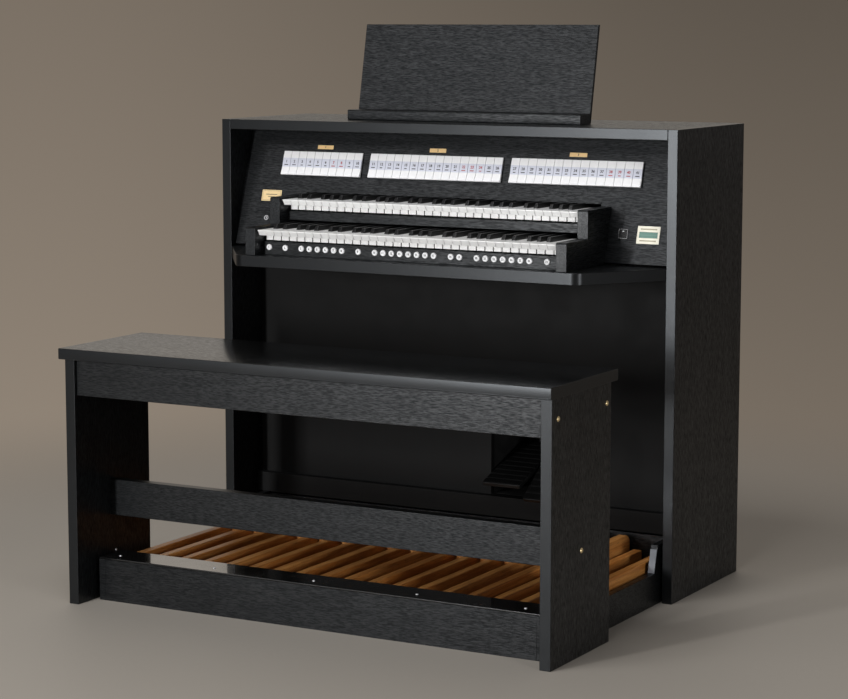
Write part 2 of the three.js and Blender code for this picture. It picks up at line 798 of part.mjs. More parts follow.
function stopBoard() {
  const group = new THREE.Group();
  group.position.set(0, panelFootY, tableTop);
  group.rotation.x = -panelLean;
  group.add(stopPanel(), stopTabs(), keySwitch());
  return group;
}

function organConsole() {
  const group = new THREE.Group();
  group.add(consoleSide("console_side_left", -consoleWidth / 2));
  group.add(consoleSide("console_side_right", innerHalf));
  group.add(consoleTop(), consoleBack(), keyTable(), musicDesk());
  group.add(stopBoard(), keyboards(), swell());
  return group;
}

// Bench in its own frame: X = 0 is its middle, Y = 0 the front edge of its seat
function bench() {
  const group = new THREE.Group();
  group.position.set(benchX, benchFrontY, 0);
  const legInner = (pedalboardWidth + benchPlay) / 2;
  const legOuter = legInner + legThickness;
  const half = legOuter + legSideInset;
  const slabUnderside = benchHeight - slabThickness;
  const seatProfile = [
    [0, slabUnderside, slabRadius],
    [benchDepth, slabUnderside, slabRadius],
    [benchDepth, benchHeight, slabRadius],
    [0, benchHeight, slabRadius],
  ];
  group.add(toMesh("bench_top", alongX(seatProfile, [-half, half]), blackAsh()));
  const legY = [legFrontInset, benchDepth - legRearInset];
  const legTop = slabUnderside - jointGap;
  group.add(toMesh("bench_side_left", block([-legOuter, -legInner], legY, [0, legTop]), blackAsh()));
  group.add(toMesh("bench_side_right", block([legInner, legOuter], legY, [0, legTop]), blackAsh()));
  const between = [jointGap - legInner, legInner - jointGap];
  const apronZ = [legTop - apronHeight, legTop];
  const frontApronY = [legY[0] + apronInset, legY[0] + apronInset + apronThickness];
  const rearApronY = [legY[1] - apronInset - apronThickness, legY[1] - apronInset];
  group.add(toMesh("bench_apron_front", block(between, frontApronY, apronZ), blackAsh()));
  group.add(toMesh("bench_apron_rear", block(between, rearApronY, apronZ), blackAsh()));
  const stretcherY = [legY[0] + stretcherSetback, legY[0] + stretcherSetback + apronThickness];
  const stretcherZ = [stretcherRise, stretcherRise + stretcherHeight];
  group.add(toMesh("bench_stretcher", block(between, stretcherY, stretcherZ), blackAsh()));
  return group;
}

const frameHalf = pedalboardWidth / 2;
const frameInner = frameHalf - frameBoard;
const heelSeat = heelPlateTop - heelPlateThickness - jointGap;
const rearBoardY = kneePanelY - toeRailDepth + jointGap;

// Pedalboard frame: two shaped side boards, front and rear boards, pivot rail and felted stop rail
function pedalFrame() {
  const heelEnd = pedalboardFrontY + heelPlateDepth;
  const blockRearY = kneePanelY - toeRailDepth - jointGap;
  const endBlockFootY = blockRearY - endBlockLength;
  const blockTopY = endBlockFootY + (endBlockTop - pedalSideTop) * Math.tan(endBlockLean);
  const rearTop = kneePanelFoot - rearBoardClearance;
  const rearEnd = rearBoardY + frameBoard;
  const side = [
    [pedalboardFrontY, 0],
    [rearEnd, 0],
    [rearEnd, rearTop],
    [blockRearY, rearTop],
    [blockRearY, endBlockTop],
    [blockTopY, endBlockTop],
    [endBlockFootY, pedalSideTop],
    [heelEnd, pedalSideTop],
    [heelEnd, heelSeat],
    [pedalboardFrontY, heelSeat],
  ];
  const across = [-frameInner - cutOverrun, frameInner + cutOverrun];
  const frontBack = pedalboardFrontY + frameBoard;
  return join([
    alongX(side, [-frameHalf, -frameInner]),
    alongX(side, [frameInner, frameHalf]),
    block(across, [pedalboardFrontY, frontBack], [0, heelSeat]),
    block(across, [frontBack - cutOverrun, pedalAxisY], [pedalAxisZ - pivotRailHeight, pedalAxisZ]),
    block(across, [rearBoardY, rearEnd], [0, rearTop]),
    block(across, [rearBoardY - stopRailDepth, rearBoardY + cutOverrun], [0, stopRailHeight]),
  ]);
}

function heelPlate() {
  const y = [pedalboardFrontY, pedalboardFrontY + heelPlateDepth];
  return block([-frameHalf, frameHalf], y, [heelPlateTop - heelPlateThickness, heelPlateTop]);
}

// Cross section of a pedal with eased top edges
function pedalSection(foot, top) {
  const half = pedalWidth / 2;
  return [
    [-half, foot],
    [half, foot],
    [half, top, pedalEdge],
    [-half, top, pedalEdge],
  ];
}

const pedalSpan = [pedalHeelGap - pivotRailDepth, pedalToeY - pedalAxisY];

// Pedals in their own frame: Y = 0 and Z = 0 are the tilting edge of the pivot rail
const naturalPedal = () => alongY(pedalSection(jointGap, jointGap + pedalHeight), pedalSpan);

function sharpPedal() {
  const [heel, toe] = pedalSpan;
  const slatTop = jointGap + sharpSlatHeight;
  const blockTop = sharpBlockTop - pedalAxisZ;
  const nose = toe - sharpBlockLength;
  const side = [
    [heel, jointGap],
    [toe, jointGap],
    [toe, blockTop, sharpTailRadius],
    [nose, blockTop, sharpNoseRadius],
    [nose, slatTop],
    [heel, slatTop],
  ];
  const half = pedalWidth / 2;
  return alongX(side, [-half, half]).intersect(alongY(pedalSection(0, blockTop), pedalSpan));
}

function pedalboard() {
  const group = new THREE.Group();
  group.position.set(pedalboardX, 0, 0);
  group.add(toMesh("pedal_frame", pedalFrame(), blackAsh()));
  group.add(toMesh("pedal_heel_plate", heelPlate(), blackGloss()));
  const long = naturalPedal();
  const short = sharpPedal();
  const firstX = (-(naturalPedals - 1) / 2) * pedalPitch;
  let number = 0;
  const addPedal = (solid, x) => {
    number += 1;
    const pedal = toMesh(`pedal_${String(number).padStart(2, "0")}`, solid, oak());
    pedal.position.set(x, pedalAxisY, pedalAxisZ);
    group.add(pedal);
  };
  for (let natural = 0; natural < naturalPedals; natural += 1) {
    addPedal(long, firstX + natural * pedalPitch);
    const sharpFollows = natural % naturalsPerOctave in sharpOffsetShares && natural < naturalPedals - 1;
    if (sharpFollows) addPedal(short, firstX + (natural + 0.5) * pedalPitch);
  }
  return group;
}

// The whole instrument, moved so that the origin is under the middle of its box
const organ = new THREE.Group();
organ.add(organConsole(), bench(), pedalboard());
const bounds = new THREE.Box3().setFromObject(organ);
const centre = bounds.getCenter(new THREE.Vector3());
organ.position.set(-centre.x, -centre.y, -bounds.min.z);

export default organ;
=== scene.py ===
# %% [markdown]
# # A church organ console with its pedalboard and bench
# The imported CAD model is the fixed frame. Every piece made here sits on a solid of that frame and rides on the
# body that carries it. Lengths are metres, +Z is up and the player sits towards -Y.

# %% The frame
import json
import math

import bmesh
import bpy
from mathutils import Matrix, Vector

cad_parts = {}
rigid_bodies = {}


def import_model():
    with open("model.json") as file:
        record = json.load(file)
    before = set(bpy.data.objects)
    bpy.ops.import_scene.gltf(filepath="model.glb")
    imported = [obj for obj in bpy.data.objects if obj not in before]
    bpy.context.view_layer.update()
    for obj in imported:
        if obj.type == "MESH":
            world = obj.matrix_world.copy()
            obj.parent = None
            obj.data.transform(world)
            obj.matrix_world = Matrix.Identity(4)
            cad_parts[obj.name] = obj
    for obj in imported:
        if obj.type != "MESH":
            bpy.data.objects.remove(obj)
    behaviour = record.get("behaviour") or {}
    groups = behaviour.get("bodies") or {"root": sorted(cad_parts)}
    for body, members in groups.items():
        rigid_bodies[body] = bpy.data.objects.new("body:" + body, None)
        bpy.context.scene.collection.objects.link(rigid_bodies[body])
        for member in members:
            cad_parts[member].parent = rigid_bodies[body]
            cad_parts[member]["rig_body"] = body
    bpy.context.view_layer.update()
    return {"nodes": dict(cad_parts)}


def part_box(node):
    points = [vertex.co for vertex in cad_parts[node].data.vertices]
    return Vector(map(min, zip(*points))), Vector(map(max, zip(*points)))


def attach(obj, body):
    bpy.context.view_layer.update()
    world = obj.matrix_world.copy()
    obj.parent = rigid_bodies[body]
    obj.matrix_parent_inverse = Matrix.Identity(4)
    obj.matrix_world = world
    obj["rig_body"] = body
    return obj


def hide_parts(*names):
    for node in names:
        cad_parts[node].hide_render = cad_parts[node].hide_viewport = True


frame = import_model()
nodes = frame["nodes"]

# %% [markdown]
# ## Writing nodes as sums
# A material is a small program. `Wire` wraps a socket, so that an expression in Python adds the Math nodes it
# needs, and `Graph.node` adds any other node. The same two serve the Geometry Nodes further down.

# %% Wires and graphs
def math_of(operation, swapped=False):
    """A method of Wire that adds one Math node, for the wire alone or with another value."""

    def method(self, *other):
        values = (*other, self) if swapped else (self, *other)
        return self.graph.node("ShaderNodeMath", {"operation": operation}, dict(enumerate(values)))

    return method


class Wire:
    """A socket of a node tree that takes part in sums."""

    def __init__(self, graph, socket):
        self.graph, self.socket = graph, socket

    __add__ = __radd__ = math_of("ADD")
    __mul__ = __rmul__ = math_of("MULTIPLY")
    __sub__, __rsub__ = math_of("SUBTRACT"), math_of("SUBTRACT", swapped=True)
    __truediv__, __rtruediv__ = math_of("DIVIDE"), math_of("DIVIDE", swapped=True)
    __pow__, at_least = math_of("POWER"), math_of("MAXIMUM")
    whole, size = math_of("FLOOR"), math_of("ABSOLUTE")
    fraction, sine = math_of("FRACT"), math_of("SINE")

    def ramp(self, low, high, start=0.0, end=1.0):
        """Smooth step of this value from low to high."""
        values = {"Value": self, "From Min": low, "From Max": high, "To Min": start, "To Max": end}
        return self.graph.node("ShaderNodeMapRange", {"interpolation_type": "SMOOTHSTEP"}, values)


class Graph:
    """Adds nodes to a tree: a type, its settings, then the values or wires of its sockets."""

    def __init__(self, tree):
        self.tree = tree

    def node(self, kind, settings=None, sockets=None, out=0):
        made = self.tree.nodes.new(kind)
        for name, value in (settings or {}).items():
            setattr(made, name, value)
        for name, value in (sockets or {}).items():
            if isinstance(value, Wire):
                self.tree.links.new(value.socket, made.inputs[name])
            else:
                made.inputs[name].default_value = value
        return Wire(self, made.outputs[out]) if len(made.outputs) else None

    def other(self, wire, name):
        """Another output of the node that a wire comes from."""
        return Wire(self, wire.socket.node.outputs[name])

    def mix(self, factor, first, second):
        settings = {"data_type": "RGBA", "clamp_factor": True}
        return self.node("ShaderNodeMix", settings, {0: factor, 6: first, 7: second}, out=2)

    def parts(self, vector):
        """The three numbers of a vector."""
        split = self.node("ShaderNodeSeparateXYZ", None, {"Vector": vector})
        return split, self.other(split, "Y"), self.other(split, "Z")

    def vector_of(self, x, y=0.0, z=0.0):
        """A vector made of three numbers."""
        return self.node("ShaderNodeCombineXYZ", None, {"X": x, "Y": y, "Z": z})

    def vector(self, operation, first, second):
        return self.node("ShaderNodeVectorMath", {"operation": operation}, {0: first, 1: second})

    def noise(self, place, scale=1.0, detail=2.0, roughness=0.5, distortion=0.0):
        values = {"Vector": place, "Scale": scale, "Detail": detail, "Roughness": roughness}
        return self.node("ShaderNodeTexNoise", None, {**values, "Distortion": distortion})


class Finish(Graph):
    """A material whose pattern is worked out from Object coordinates."""

    def __init__(self, name):
        self.material = bpy.data.materials.new(name)
        self.material.use_nodes = True
        super().__init__(self.material.node_tree)
        self.surface = self.tree.nodes["Principled BSDF"]
        coordinates = self.node("ShaderNodeTexCoord")
        self.place = self.other(coordinates, "Object")
        self.own_map = self.other(coordinates, "UV")

    def stretched(self, scale, place=None):
        return self.node("ShaderNodeMapping", None, {"Vector": place or self.place, "Scale": scale})

    def bump(self, height, strength, distance):
        return self.node("ShaderNodeBump", None, {"Strength": strength, "Distance": distance, "Height": height})

    def paint(self, **sockets):
        """Sets the shader's sockets; an underscore in a name stands for a space."""
        for name, value in sockets.items():
            socket = self.surface.inputs[name.replace("_", " ")]
            if isinstance(value, Wire):
                self.tree.links.new(value.socket, socket)
            else:
                socket.default_value = value
        print("finish", self.material.name)
        return self.material


def shade(level, tint=(1.0, 1.0, 1.0)):
    """A colour with its alpha: a level times a tint."""
    return (level * tint[0], level * tint[1], level * tint[2], 1.0)


def dimmed(colour, share):
    return (*(part * share for part in colour[:3]), 1)


# %% [markdown]
# ## Black ash laminate
# The boards of the console and the bench are chipboard faced with black laminate that is embossed like ash:
# short fine pores that run with the board, over slow bands of lighter and darker grain. A picture of the grain
# would need a map on every board. Noise that is squeezed across the grain needs none, so it is used here. Almost all
# that is seen of the laminate is gloss, so the grain is in the relief and in the coat: a ridge is coated and a pore
# is not. Each board needs the grain to run its own way, so there is one material for each direction. The narrow
# faces have a smooth glued band, and the seat is worn smooth.

# %% Black ash laminate
COOL = (0.90, 0.95, 1.0)
GRAIN_ALONG, GRAIN_ACROSS, BANDS_PER_LINE = 60.0, 560.0, 0.14


def black_ash(name, along, rough=0.33, relief=0.0005):
    """Laminate whose grain runs along X, Y or Z."""
    finish = Finish(name)
    stretch = [GRAIN_ACROSS] * 3
    stretch["XYZ".index(along)] = GRAIN_ALONG
    lines = finish.noise(finish.stretched(stretch), roughness=0.6, distortion=0.3)
    bands = finish.noise(finish.stretched([value * BANDS_PER_LINE for value in stretch]))
    ridges, swells = lines.ramp(0.36, 0.66), bands.ramp(0.3, 0.7)
    light = ridges * 0.75 + swells * 0.25
    return finish.paint(
        Base_Color=finish.mix(light, shade(0.0015, COOL), shade(0.006, COOL)),
        Roughness=rough + (1 - ridges) * 0.12,
        Specular_IOR_Level=0.17,
        Specular_Tint=(*COOL, 1),
        Coat_Weight=(ridges * 0.64 + 0.06) * (swells * 0.3 + 0.8),
        Coat_Roughness=rough,
        Coat_Tint=(*COOL, 1),
        Normal=finish.bump(light, 0.4, relief),
    )


def edge_band():
    """The smooth band that is glued on the narrow faces of the boards."""
    finish = Finish("edge band")
    skin, cloud = finish.noise(finish.place, 500.0), finish.noise(finish.place, 9.0)
    return finish.paint(
        Base_Color=finish.mix(skin, shade(0.003, COOL), shade(0.006, COOL)),
        Roughness=0.3 + cloud * 0.05,
        Specular_IOR_Level=0.4,
        Specular_Tint=(*COOL, 1),
        Normal=finish.bump(skin, 0.25, 0.0003),
    )


ash_along = {axis: black_ash(f"black ash {axis}", axis) for axis in "XYZ"}
worn_ash = black_ash("worn black ash", "X", 0.14, 0.0001)
band_black = edge_band()

# %% [markdown]
# ## Plain blacks
# The back board and the inside of the console are plain black board, the knee panel is dull, the heel plate is
# polished, the sharps are satin, and the swell shoes are moulded plastic with a rubber tread. On the real organ they
# differ only in how rough they are and in how fine their skin is, so one function makes them all.

# %% Plain blacks
def plain_black(name, level, rough, grain=900.0, relief=0.15, coat=0.0, shine=0.5):
    finish = Finish(name)
    skin = finish.noise(finish.place, grain)
    cloud = finish.noise(finish.place, 14.0, detail=3.0)
    return finish.paint(
        Base_Color=finish.mix(cloud.ramp(0.3, 0.7), shade(level * 0.8), shade(level * 1.25)),
        Roughness=rough + cloud.ramp(0.35, 0.7) * 0.08,
        Coat_Weight=coat,
        Specular_IOR_Level=shine,
        Normal=finish.bump(skin, relief, 0.0002),
    )


carcass = plain_black("black board", 0.006, 0.55, relief=0.3)
gloss = plain_black("black polish", 0.004, 0.2, grain=60.0, relief=0.02, coat=1.0)
sharp_black = plain_black("sharp key black", 0.003, 0.32, grain=500.0, relief=0.03)
rubber = plain_black("black rubber", 0.002, 0.6, grain=1600.0, relief=0.5, shine=0.08)
dark_plastic = plain_black("black plastic", 0.005, 0.42, grain=1200.0, relief=0.25, shine=0.4)
knee_black = plain_black("dull black board", 0.004, 0.6, grain=1500.0, relief=0.35, shine=0.15)

# %% [markdown]
# ## Whites
# Keys, stop tabs and pistons are moulded in white plastic. Each natural is a shade of its own. Seventy-two
# materials could do that, but one does when its noise is read at one place for each key: the key's number is the
# whole part of its place along the keyboard.

# %% Whites
natural_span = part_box("lower_naturals")
NATURALS = 36
NATURAL_PITCH = (natural_span[1].x - natural_span[0].x) / NATURALS
KEY_STRIDE = 7.13


def key_white():
    finish = Finish("key white")
    across, _, _ = finish.parts(finish.place)
    number = ((across - natural_span[0].x) / NATURAL_PITCH).whole()
    tone = finish.noise(finish.vector_of(number * KEY_STRIDE), detail=0.0)
    skin = finish.noise(finish.place, 700.0)
    return finish.paint(
        Base_Color=finish.mix(tone, (0.90, 0.90, 0.89, 1), (0.96, 0.96, 0.95, 1)),
        Roughness=0.24 + skin * 0.12,
        Normal=finish.bump(skin, 0.06, 0.0002),
    )


def moulded(name, colour, rough):
    finish = Finish(name)
    skin, cloud = finish.noise(finish.place, 1100.0), finish.noise(finish.place, 30.0)
    return finish.paint(
        Base_Color=finish.mix(cloud.ramp(0.3, 0.7), dimmed(colour, 0.9), colour),
        Roughness=rough + skin * 0.1,
        Normal=finish.bump(skin, 0.08, 0.0002),
    )


ivory = key_white()
button_white = moulded("button white", (0.95, 0.95, 0.96, 1), 0.3)
ink = moulded("black ink", (0.025, 0.025, 0.035, 1), 0.5)
red_ink = moulded("red ink", (0.42, 0.05, 0.06, 1), 0.5)
cream = moulded("cream plastic", (0.90, 0.86, 0.72, 1), 0.35)
# A darker cream, used only for the painted shade of each groove on the display.
groove_shade_cream = moulded("cream with painted groove shade", (0.42, 0.38, 0.27, 1), 0.5)
legend_grey = moulded("pale legend", (0.55, 0.56, 0.58, 1), 0.5)
plate_yellow = moulded("yellow plate", (0.82, 0.62, 0.32, 1), 0.4)

# %% [markdown]
# ## Stop tab faces
# A tab is white with a cool grey band across its middle. The band follows the tab and not the room, so it is read
# from the tab's own UV map, whose second number runs up the tab.

# %% Stop tab faces
def tab_face():
    finish = Finish("stop tab")
    _, up, _ = finish.parts(finish.own_map)
    band = up.ramp(0.32, 0.35) * (1 - up.ramp(0.69, 0.72))
    skin = finish.noise(finish.place, 900.0)
    return finish.paint(
        Base_Color=finish.mix(band, (0.87, 0.87, 0.88, 1), (0.65, 0.67, 0.76, 1)),
        Roughness=0.28 + skin * 0.1,
        Normal=finish.bump(skin, 0.06, 0.0002),
    )


tab_white = tab_face()

# %% [markdown]
# ## Metals
# Brass bolts are turned and steel is rolled, so fine lines run along the piece. Both are full metals whose
# roughness changes a little from place to place. The plates over the tabs and the catch plates are so dull that
# they look painted, and a moulded finish comes closer to them.

# %% Metals
def metal(name, colour, rough, lines=(40.0, 900.0, 900.0)):
    finish = Finish(name)
    rolled = finish.noise(finish.stretched(lines))
    worn = finish.noise(finish.place, 60.0, detail=3.0)
    return finish.paint(
        Base_Color=finish.mix(rolled, dimmed(colour, 0.82), colour),
        Metallic=1.0,
        Roughness=rough + worn.ramp(0.4, 0.75) * 0.12 + rolled * 0.06,
        Normal=finish.bump(rolled, 0.08, 0.0001),
    )


brass = metal("brass", (0.92, 0.74, 0.42, 1), 0.4)
pale_brass = moulded("gilt plate", (0.84, 0.57, 0.26, 1), 0.32)
steel = metal("bright steel", (0.80, 0.80, 0.82, 1), 0.42)
dull_steel = metal("brushed steel", (0.50, 0.50, 0.52, 1), 0.38)
catch_grey = moulded("grey catch plate", (0.20, 0.215, 0.24, 1), 0.35)

# %% [markdown]
# ## Varnished oak
# The pedals are strips of oak under satin varnish. The grain runs along Y: broad growth bands, dark pores that are
# long and narrow, and a slow change from one board to the next, read at the board's own place along X.

# %% Varnished oak
pedal_first, pedal_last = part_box("pedal_01"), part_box("pedal_30")
PEDAL_STEPS = 34
PEDAL_STEP = (pedal_last[0].x - pedal_first[0].x) / PEDAL_STEPS
BOARD_SHIFT, TONE_STRIDE = (0.37, 0.61, 0.23), 3.7


def oak_finish():
    finish = Finish("varnished oak")
    across, _, _ = finish.parts(finish.place)
    board = ((across - pedal_first[0].x) / PEDAL_STEP + 0.3).whole()
    place = finish.vector("ADD", finish.place, finish.vector_of(*(board * share for share in BOARD_SHIFT)))
    tone = finish.noise(finish.vector_of(board * TONE_STRIDE), detail=0.0)
    growth = finish.noise(finish.stretched((85.0, 3.0, 85.0), place), detail=3.0, distortion=0.6)
    pores = finish.noise(finish.stretched((900.0, 26.0, 900.0), place), detail=1.0)
    dark_pores = pores.ramp(0.57, 0.68)
    base = finish.mix(growth.ramp(0.35, 0.68), (0.44, 0.165, 0.034, 1), (0.70, 0.34, 0.10, 1))
    base = finish.mix(tone.ramp(0.3, 0.7) * 0.35, base, (0.30, 0.10, 0.02, 1))
    base = finish.mix(dark_pores * 0.55, base, (0.16, 0.06, 0.015, 1))
    return finish.paint(
        Base_Color=base,
        Roughness=0.34 + growth * 0.12,
        Specular_IOR_Level=0.35,
        Normal=finish.bump(1 - dark_pores, 0.25, 0.0004),
    )


oak = oak_finish()

# %% [markdown]
# ## Making shapes
# Most pieces are boards and small mouldings: an outline that is pushed along an axis, or a profile that is turned
# round one. Curves could give both, but a mesh built face by face has no needless points. `Shape` collects such
# closed forms in one mesh. A bevel then breaks the edges, because no real board has a knife edge, and a broken edge
# is what catches the light.

# %% Outlines
def rounded(corners, steps=6):
    """An outline whose corners (a, b, radius) are rounded with true arcs."""
    points = []
    for i, corner in enumerate(corners):
        here = Vector(corner[:2])
        radius = corner[2] if len(corner) > 2 else 0
        if not radius:
            points.append(here)
            continue
        back = (Vector(corners[i - 1][:2]) - here).normalized()
        ahead = (Vector(corners[(i + 1) % len(corners)][:2]) - here).normalized()
        half = back.angle(ahead) / 2
        middle = here + (back + ahead).normalized() * (radius / math.sin(half))
        start = here + back * (radius / math.tan(half)) - middle
        end = here + ahead * (radius / math.tan(half)) - middle
        turn = start.angle_signed(end)
        points += [middle + start @ Matrix.Rotation(turn * k / steps, 2) for k in range(steps + 1)]
    return points


def rectangle(a, b, radius=0.0):
    (a0, a1), (b0, b1) = a, b
    return rounded([(a0, b0, radius), (a1, b0, radius), (a1, b1, radius), (a0, b1, radius)])


# %% Closed forms
ALONG = {"X": lambda a, b, t: (t, a, b), "Y": lambda a, b, t: (a, t, b), "Z": lambda a, b, t: (a, b, t)}
SAME_PLACE = 1e-6


class Shape:
    """Closed forms collected in one mesh."""

    def __init__(self):
        self.mesh = bmesh.new()

    def prism(self, outline, span, axis="X"):
        rings = [[self.mesh.verts.new(ALONG[axis](a, b, t)) for a, b in outline] for t in span]
        count = len(outline)
        for i in range(count):
            self.mesh.faces.new([rings[0][i], rings[0][i - 1], rings[1][i - 1], rings[1][i]])
        self.mesh.faces.new(rings[0])
        self.mesh.faces.new(reversed(rings[1]))
        return self

    def board(self, low, high, radius=0.0, axis="X"):
        """A block between two corners; its long edges may be rounded."""
        k = "XYZ".index(axis)
        a, b = [i for i in range(3) if i != k]
        return self.prism(rectangle((low[a], high[a]), (low[b], high[b]), radius), (low[k], high[k]), axis)

    def turned(self, profile, centre=(0, 0, 0), axis="Y", steps=24):
        """A profile of (radius, distance along the axis) turned round an axis through centre."""
        rings = []
        for radius, t in profile:
            count = steps if radius > 0 else 1
            ring = []
            for k in range(count):
                angle = 2 * math.pi * k / count
                place = ALONG[axis](radius * math.cos(angle), radius * math.sin(angle), t)
                ring.append(self.mesh.verts.new(Vector(place) + Vector(centre)))
            rings.append(ring)
        for near, far in zip(rings, rings[1:]):
            for k in range(steps):
                after = k + 1
                corners = [near[k % len(near)], near[after % len(near)], far[after % len(far)], far[k % len(far)]]
                self.mesh.faces.new(dict.fromkeys(corners))
        return self

    def solid(self, name, moved=Matrix.Identity(4)):
        """The finished mesh, with its faces pointing outwards."""
        bmesh.ops.remove_doubles(self.mesh, verts=self.mesh.verts, dist=SAME_PLACE)
        bmesh.ops.transform(self.mesh, matrix=moved, verts=self.mesh.verts)
        bmesh.ops.recalc_face_normals(self.mesh, faces=self.mesh.faces)
        made = bpy.data.meshes.new(name)
        self.mesh.to_mesh(made)
        self.mesh.free()
        return made


# %% [markdown]
# ## From shapes to pieces
# A shape becomes a piece when it is an object with a finish, rides on a body and says which solids it stands for. A
# board that needs no new shape is a copy of its solid. The solid is loose triangles, so the copy is merged and its
# flat faces are joined again, or a bevel would also run along the triangles' sides.

# %% Pieces
SOLID_MERGE, SOLID_FLAT = 2e-6, math.radians(0.5)
FACING = 0.7


def flattened(thing):
    """The object with its modifiers worked into its mesh."""
    graph = bpy.context.evaluated_depsgraph_get()
    mesh = bpy.data.meshes.new_from_object(thing.evaluated_get(graph))
    thing.modifiers.clear()
    thing.data = mesh
    return thing


def as_object(name, mesh, finish=None):
    thing = bpy.data.objects.new(name, mesh)
    bpy.context.scene.collection.objects.link(thing)
    if finish:
        mesh.materials.clear()
        mesh.materials.append(finish)
    return thing


def eased(thing, width, segments=2, angle=28.0):
    """Breaks the sharp edges of an object and smooths across them."""
    for face in thing.data.polygons:
        face.use_smooth = True
    bevel = thing.modifiers.new("edges", "BEVEL")
    bevel.width, bevel.segments = width, segments
    bevel.limit_method, bevel.angle_limit = "ANGLE", math.radians(angle)
    bevel.harden_normals = True
    bevel.miter_outer = "MITER_ARC"
    return flattened(thing)


def settle(thing, body, slot, *stands_for):
    """Gives a finished piece its body and hides the solids that it stands for. The slot is not used."""
    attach(thing, body)
    if stands_for:
        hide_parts(*stands_for)
    print(thing.name, "rides on", body, "with", len(thing.data.polygons), "faces")
    return thing


def piece(name, shape, finish, body, slot, edge=0.0, stands_for=(), moved=Matrix.Identity(4)):
    thing = as_object(name, shape.solid(name, moved), finish)
    if edge:
        eased(thing, edge)
    return settle(thing, body, slot, *stands_for)


def plain_normals(mesh):
    """Forgets the normals that a mesh was read with, so that its faces give them."""
    if mesh.has_custom_normals:
        mesh.attributes.remove(mesh.attributes["custom_normal"])


def banded(thing):
    """Puts the edge band on a board's narrow faces, those that don't face along its thickness."""
    spans = [max(places) - min(places) for places in zip(*(vert.co for vert in thing.data.vertices))]
    thin = spans.index(min(spans))
    thing.data.materials.append(band_black)
    for face in thing.data.polygons:
        face.material_index = int(abs(face.normal[thin]) < FACING)
    return thing


def softened(node, finish, width, slot="black_ash", band=True):
    """A copy of a solid whose flat faces are joined again and whose edges are broken."""
    mesh = bmesh.new()
    mesh.from_mesh(nodes[node].data)
    bmesh.ops.remove_doubles(mesh, verts=mesh.verts, dist=SOLID_MERGE)
    bmesh.ops.dissolve_limit(mesh, angle_limit=SOLID_FLAT, verts=mesh.verts, edges=mesh.edges)
    made = bpy.data.meshes.new(node)
    mesh.to_mesh(made)
    mesh.free()
    plain_normals(made)
    thing = as_object(f"{node}_board", made, finish)
    eased(thing, width)
    if band:
        banded(thing)
    return settle(thing, nodes[node]["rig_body"], slot, node)


def carried_over(node, finish):
    """A solid that stays as it is and gets its finish."""
    nodes[node].data.materials.clear()
    nodes[node].data.materials.append(finish)
    print(node, "keeps its solid")


# %% [markdown]
# ## Places
# All places are millimetres counted from the console: its middle, the front edges of its side boards and the floor.
# The stop panel leans back, so what lies on it is placed in the panel's own directions: along it, into it and up it.
# One matrix for each of the two takes such places to the room.

# %% Places on the console and on the stop panel
MM = 0.001
console_left, console_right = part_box("console_side_left"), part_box("console_side_right")
MIDDLE = (console_left[0].x + console_right[1].x) / 2
FRONT = console_left[0].y
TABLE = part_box("key_table")[1].z
PANEL_LEAN = math.radians(15.77)
PANEL_FOOT = 17.2


def reach(node):
    """The box of a solid as three spans, in millimetres on the console."""
    low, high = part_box(node)
    shift = (MIDDLE, FRONT, 0)
    return [((low[i] - shift[i]) / MM, (high[i] - shift[i]) / MM) for i in range(3)]


HERE = Matrix.Translation((MIDDLE, FRONT, 0)) @ Matrix.Scale(MM, 4)
panel_place = Matrix.Translation((MIDDLE, FRONT + PANEL_FOOT * MM, TABLE))
ON_PANEL = panel_place @ Matrix.Rotation(-PANEL_LEAN, 4, "X") @ Matrix.Scale(MM, 4)
print("console middle", round(MIDDLE, 4), "front", round(FRONT, 4), "table", round(TABLE, 4))

# %% [markdown]
# ## The housing
# The housing is made of flat boards. Their solids have the right size already, so the pieces are copies of them
# with the edges broken by a millimetre, as edge banding is. Grain runs up the side boards, from front to back on the
# cheeks, and along all others. Boards that hardly show keep their solid and only get a finish.

# %% Boards of the console
BOARD_EDGE, CHEEK_EDGE = 0.0012, 0.001
for side in ("console_side_left", "console_side_right"):
    softened(side, ash_along["Z"], BOARD_EDGE)
softened("console_top", ash_along["X"], BOARD_EDGE)
softened("upper_key_frame", ash_along["X"], BOARD_EDGE, band=False)
softened("knee_panel", knee_black, BOARD_EDGE, "black_carcass", band=False)
for cheek in ("key_cheek_left", "key_cheek_right"):
    softened(cheek, ash_along["Y"], CHEEK_EDGE, band=False)
carried_over("lower_key_frame", ash_along["X"])
carried_over("console_back", carcass)
carried_over("swell_box", carcass)

# %% [markdown]
# ## The table
# The table carries the keyboards. Its front corners are rounded and banded, and the light runs over them in two
# bright streaks, so the arc needs more steps than the solid has.

# %% Table
TABLE_FRONT_HALF, TABLE_CORNER, TABLE_SHOULDER, TABLE_EDGE = 483, 35, 2, 0.0014
(_, table_x1), (table_y0, table_y1), table_z = reach("key_table")
right_half = [(TABLE_FRONT_HALF, table_y0, TABLE_CORNER), (table_x1, TABLE_SHOULDER), (table_x1, table_y1)]
left_half = [(-corner[0], *corner[1:]) for corner in reversed(right_half)]
table_shape = Shape().prism(rounded(right_half + left_half, steps=18), table_z, "Z")
banded(piece("table", table_shape, ash_along["X"], "console", "black_ash", TABLE_EDGE, ["key_table"], HERE))

# %% [markdown]
# ## The stop panel
# The panel leans back between the side boards, from the table to the top board. It has a notch for the two
# keyboards, with a strip along the notch's upper edge. A Boolean could cut the notch, but in the panel's own
# directions the whole panel is one outline with a thickness, and an outline leaves no scars.

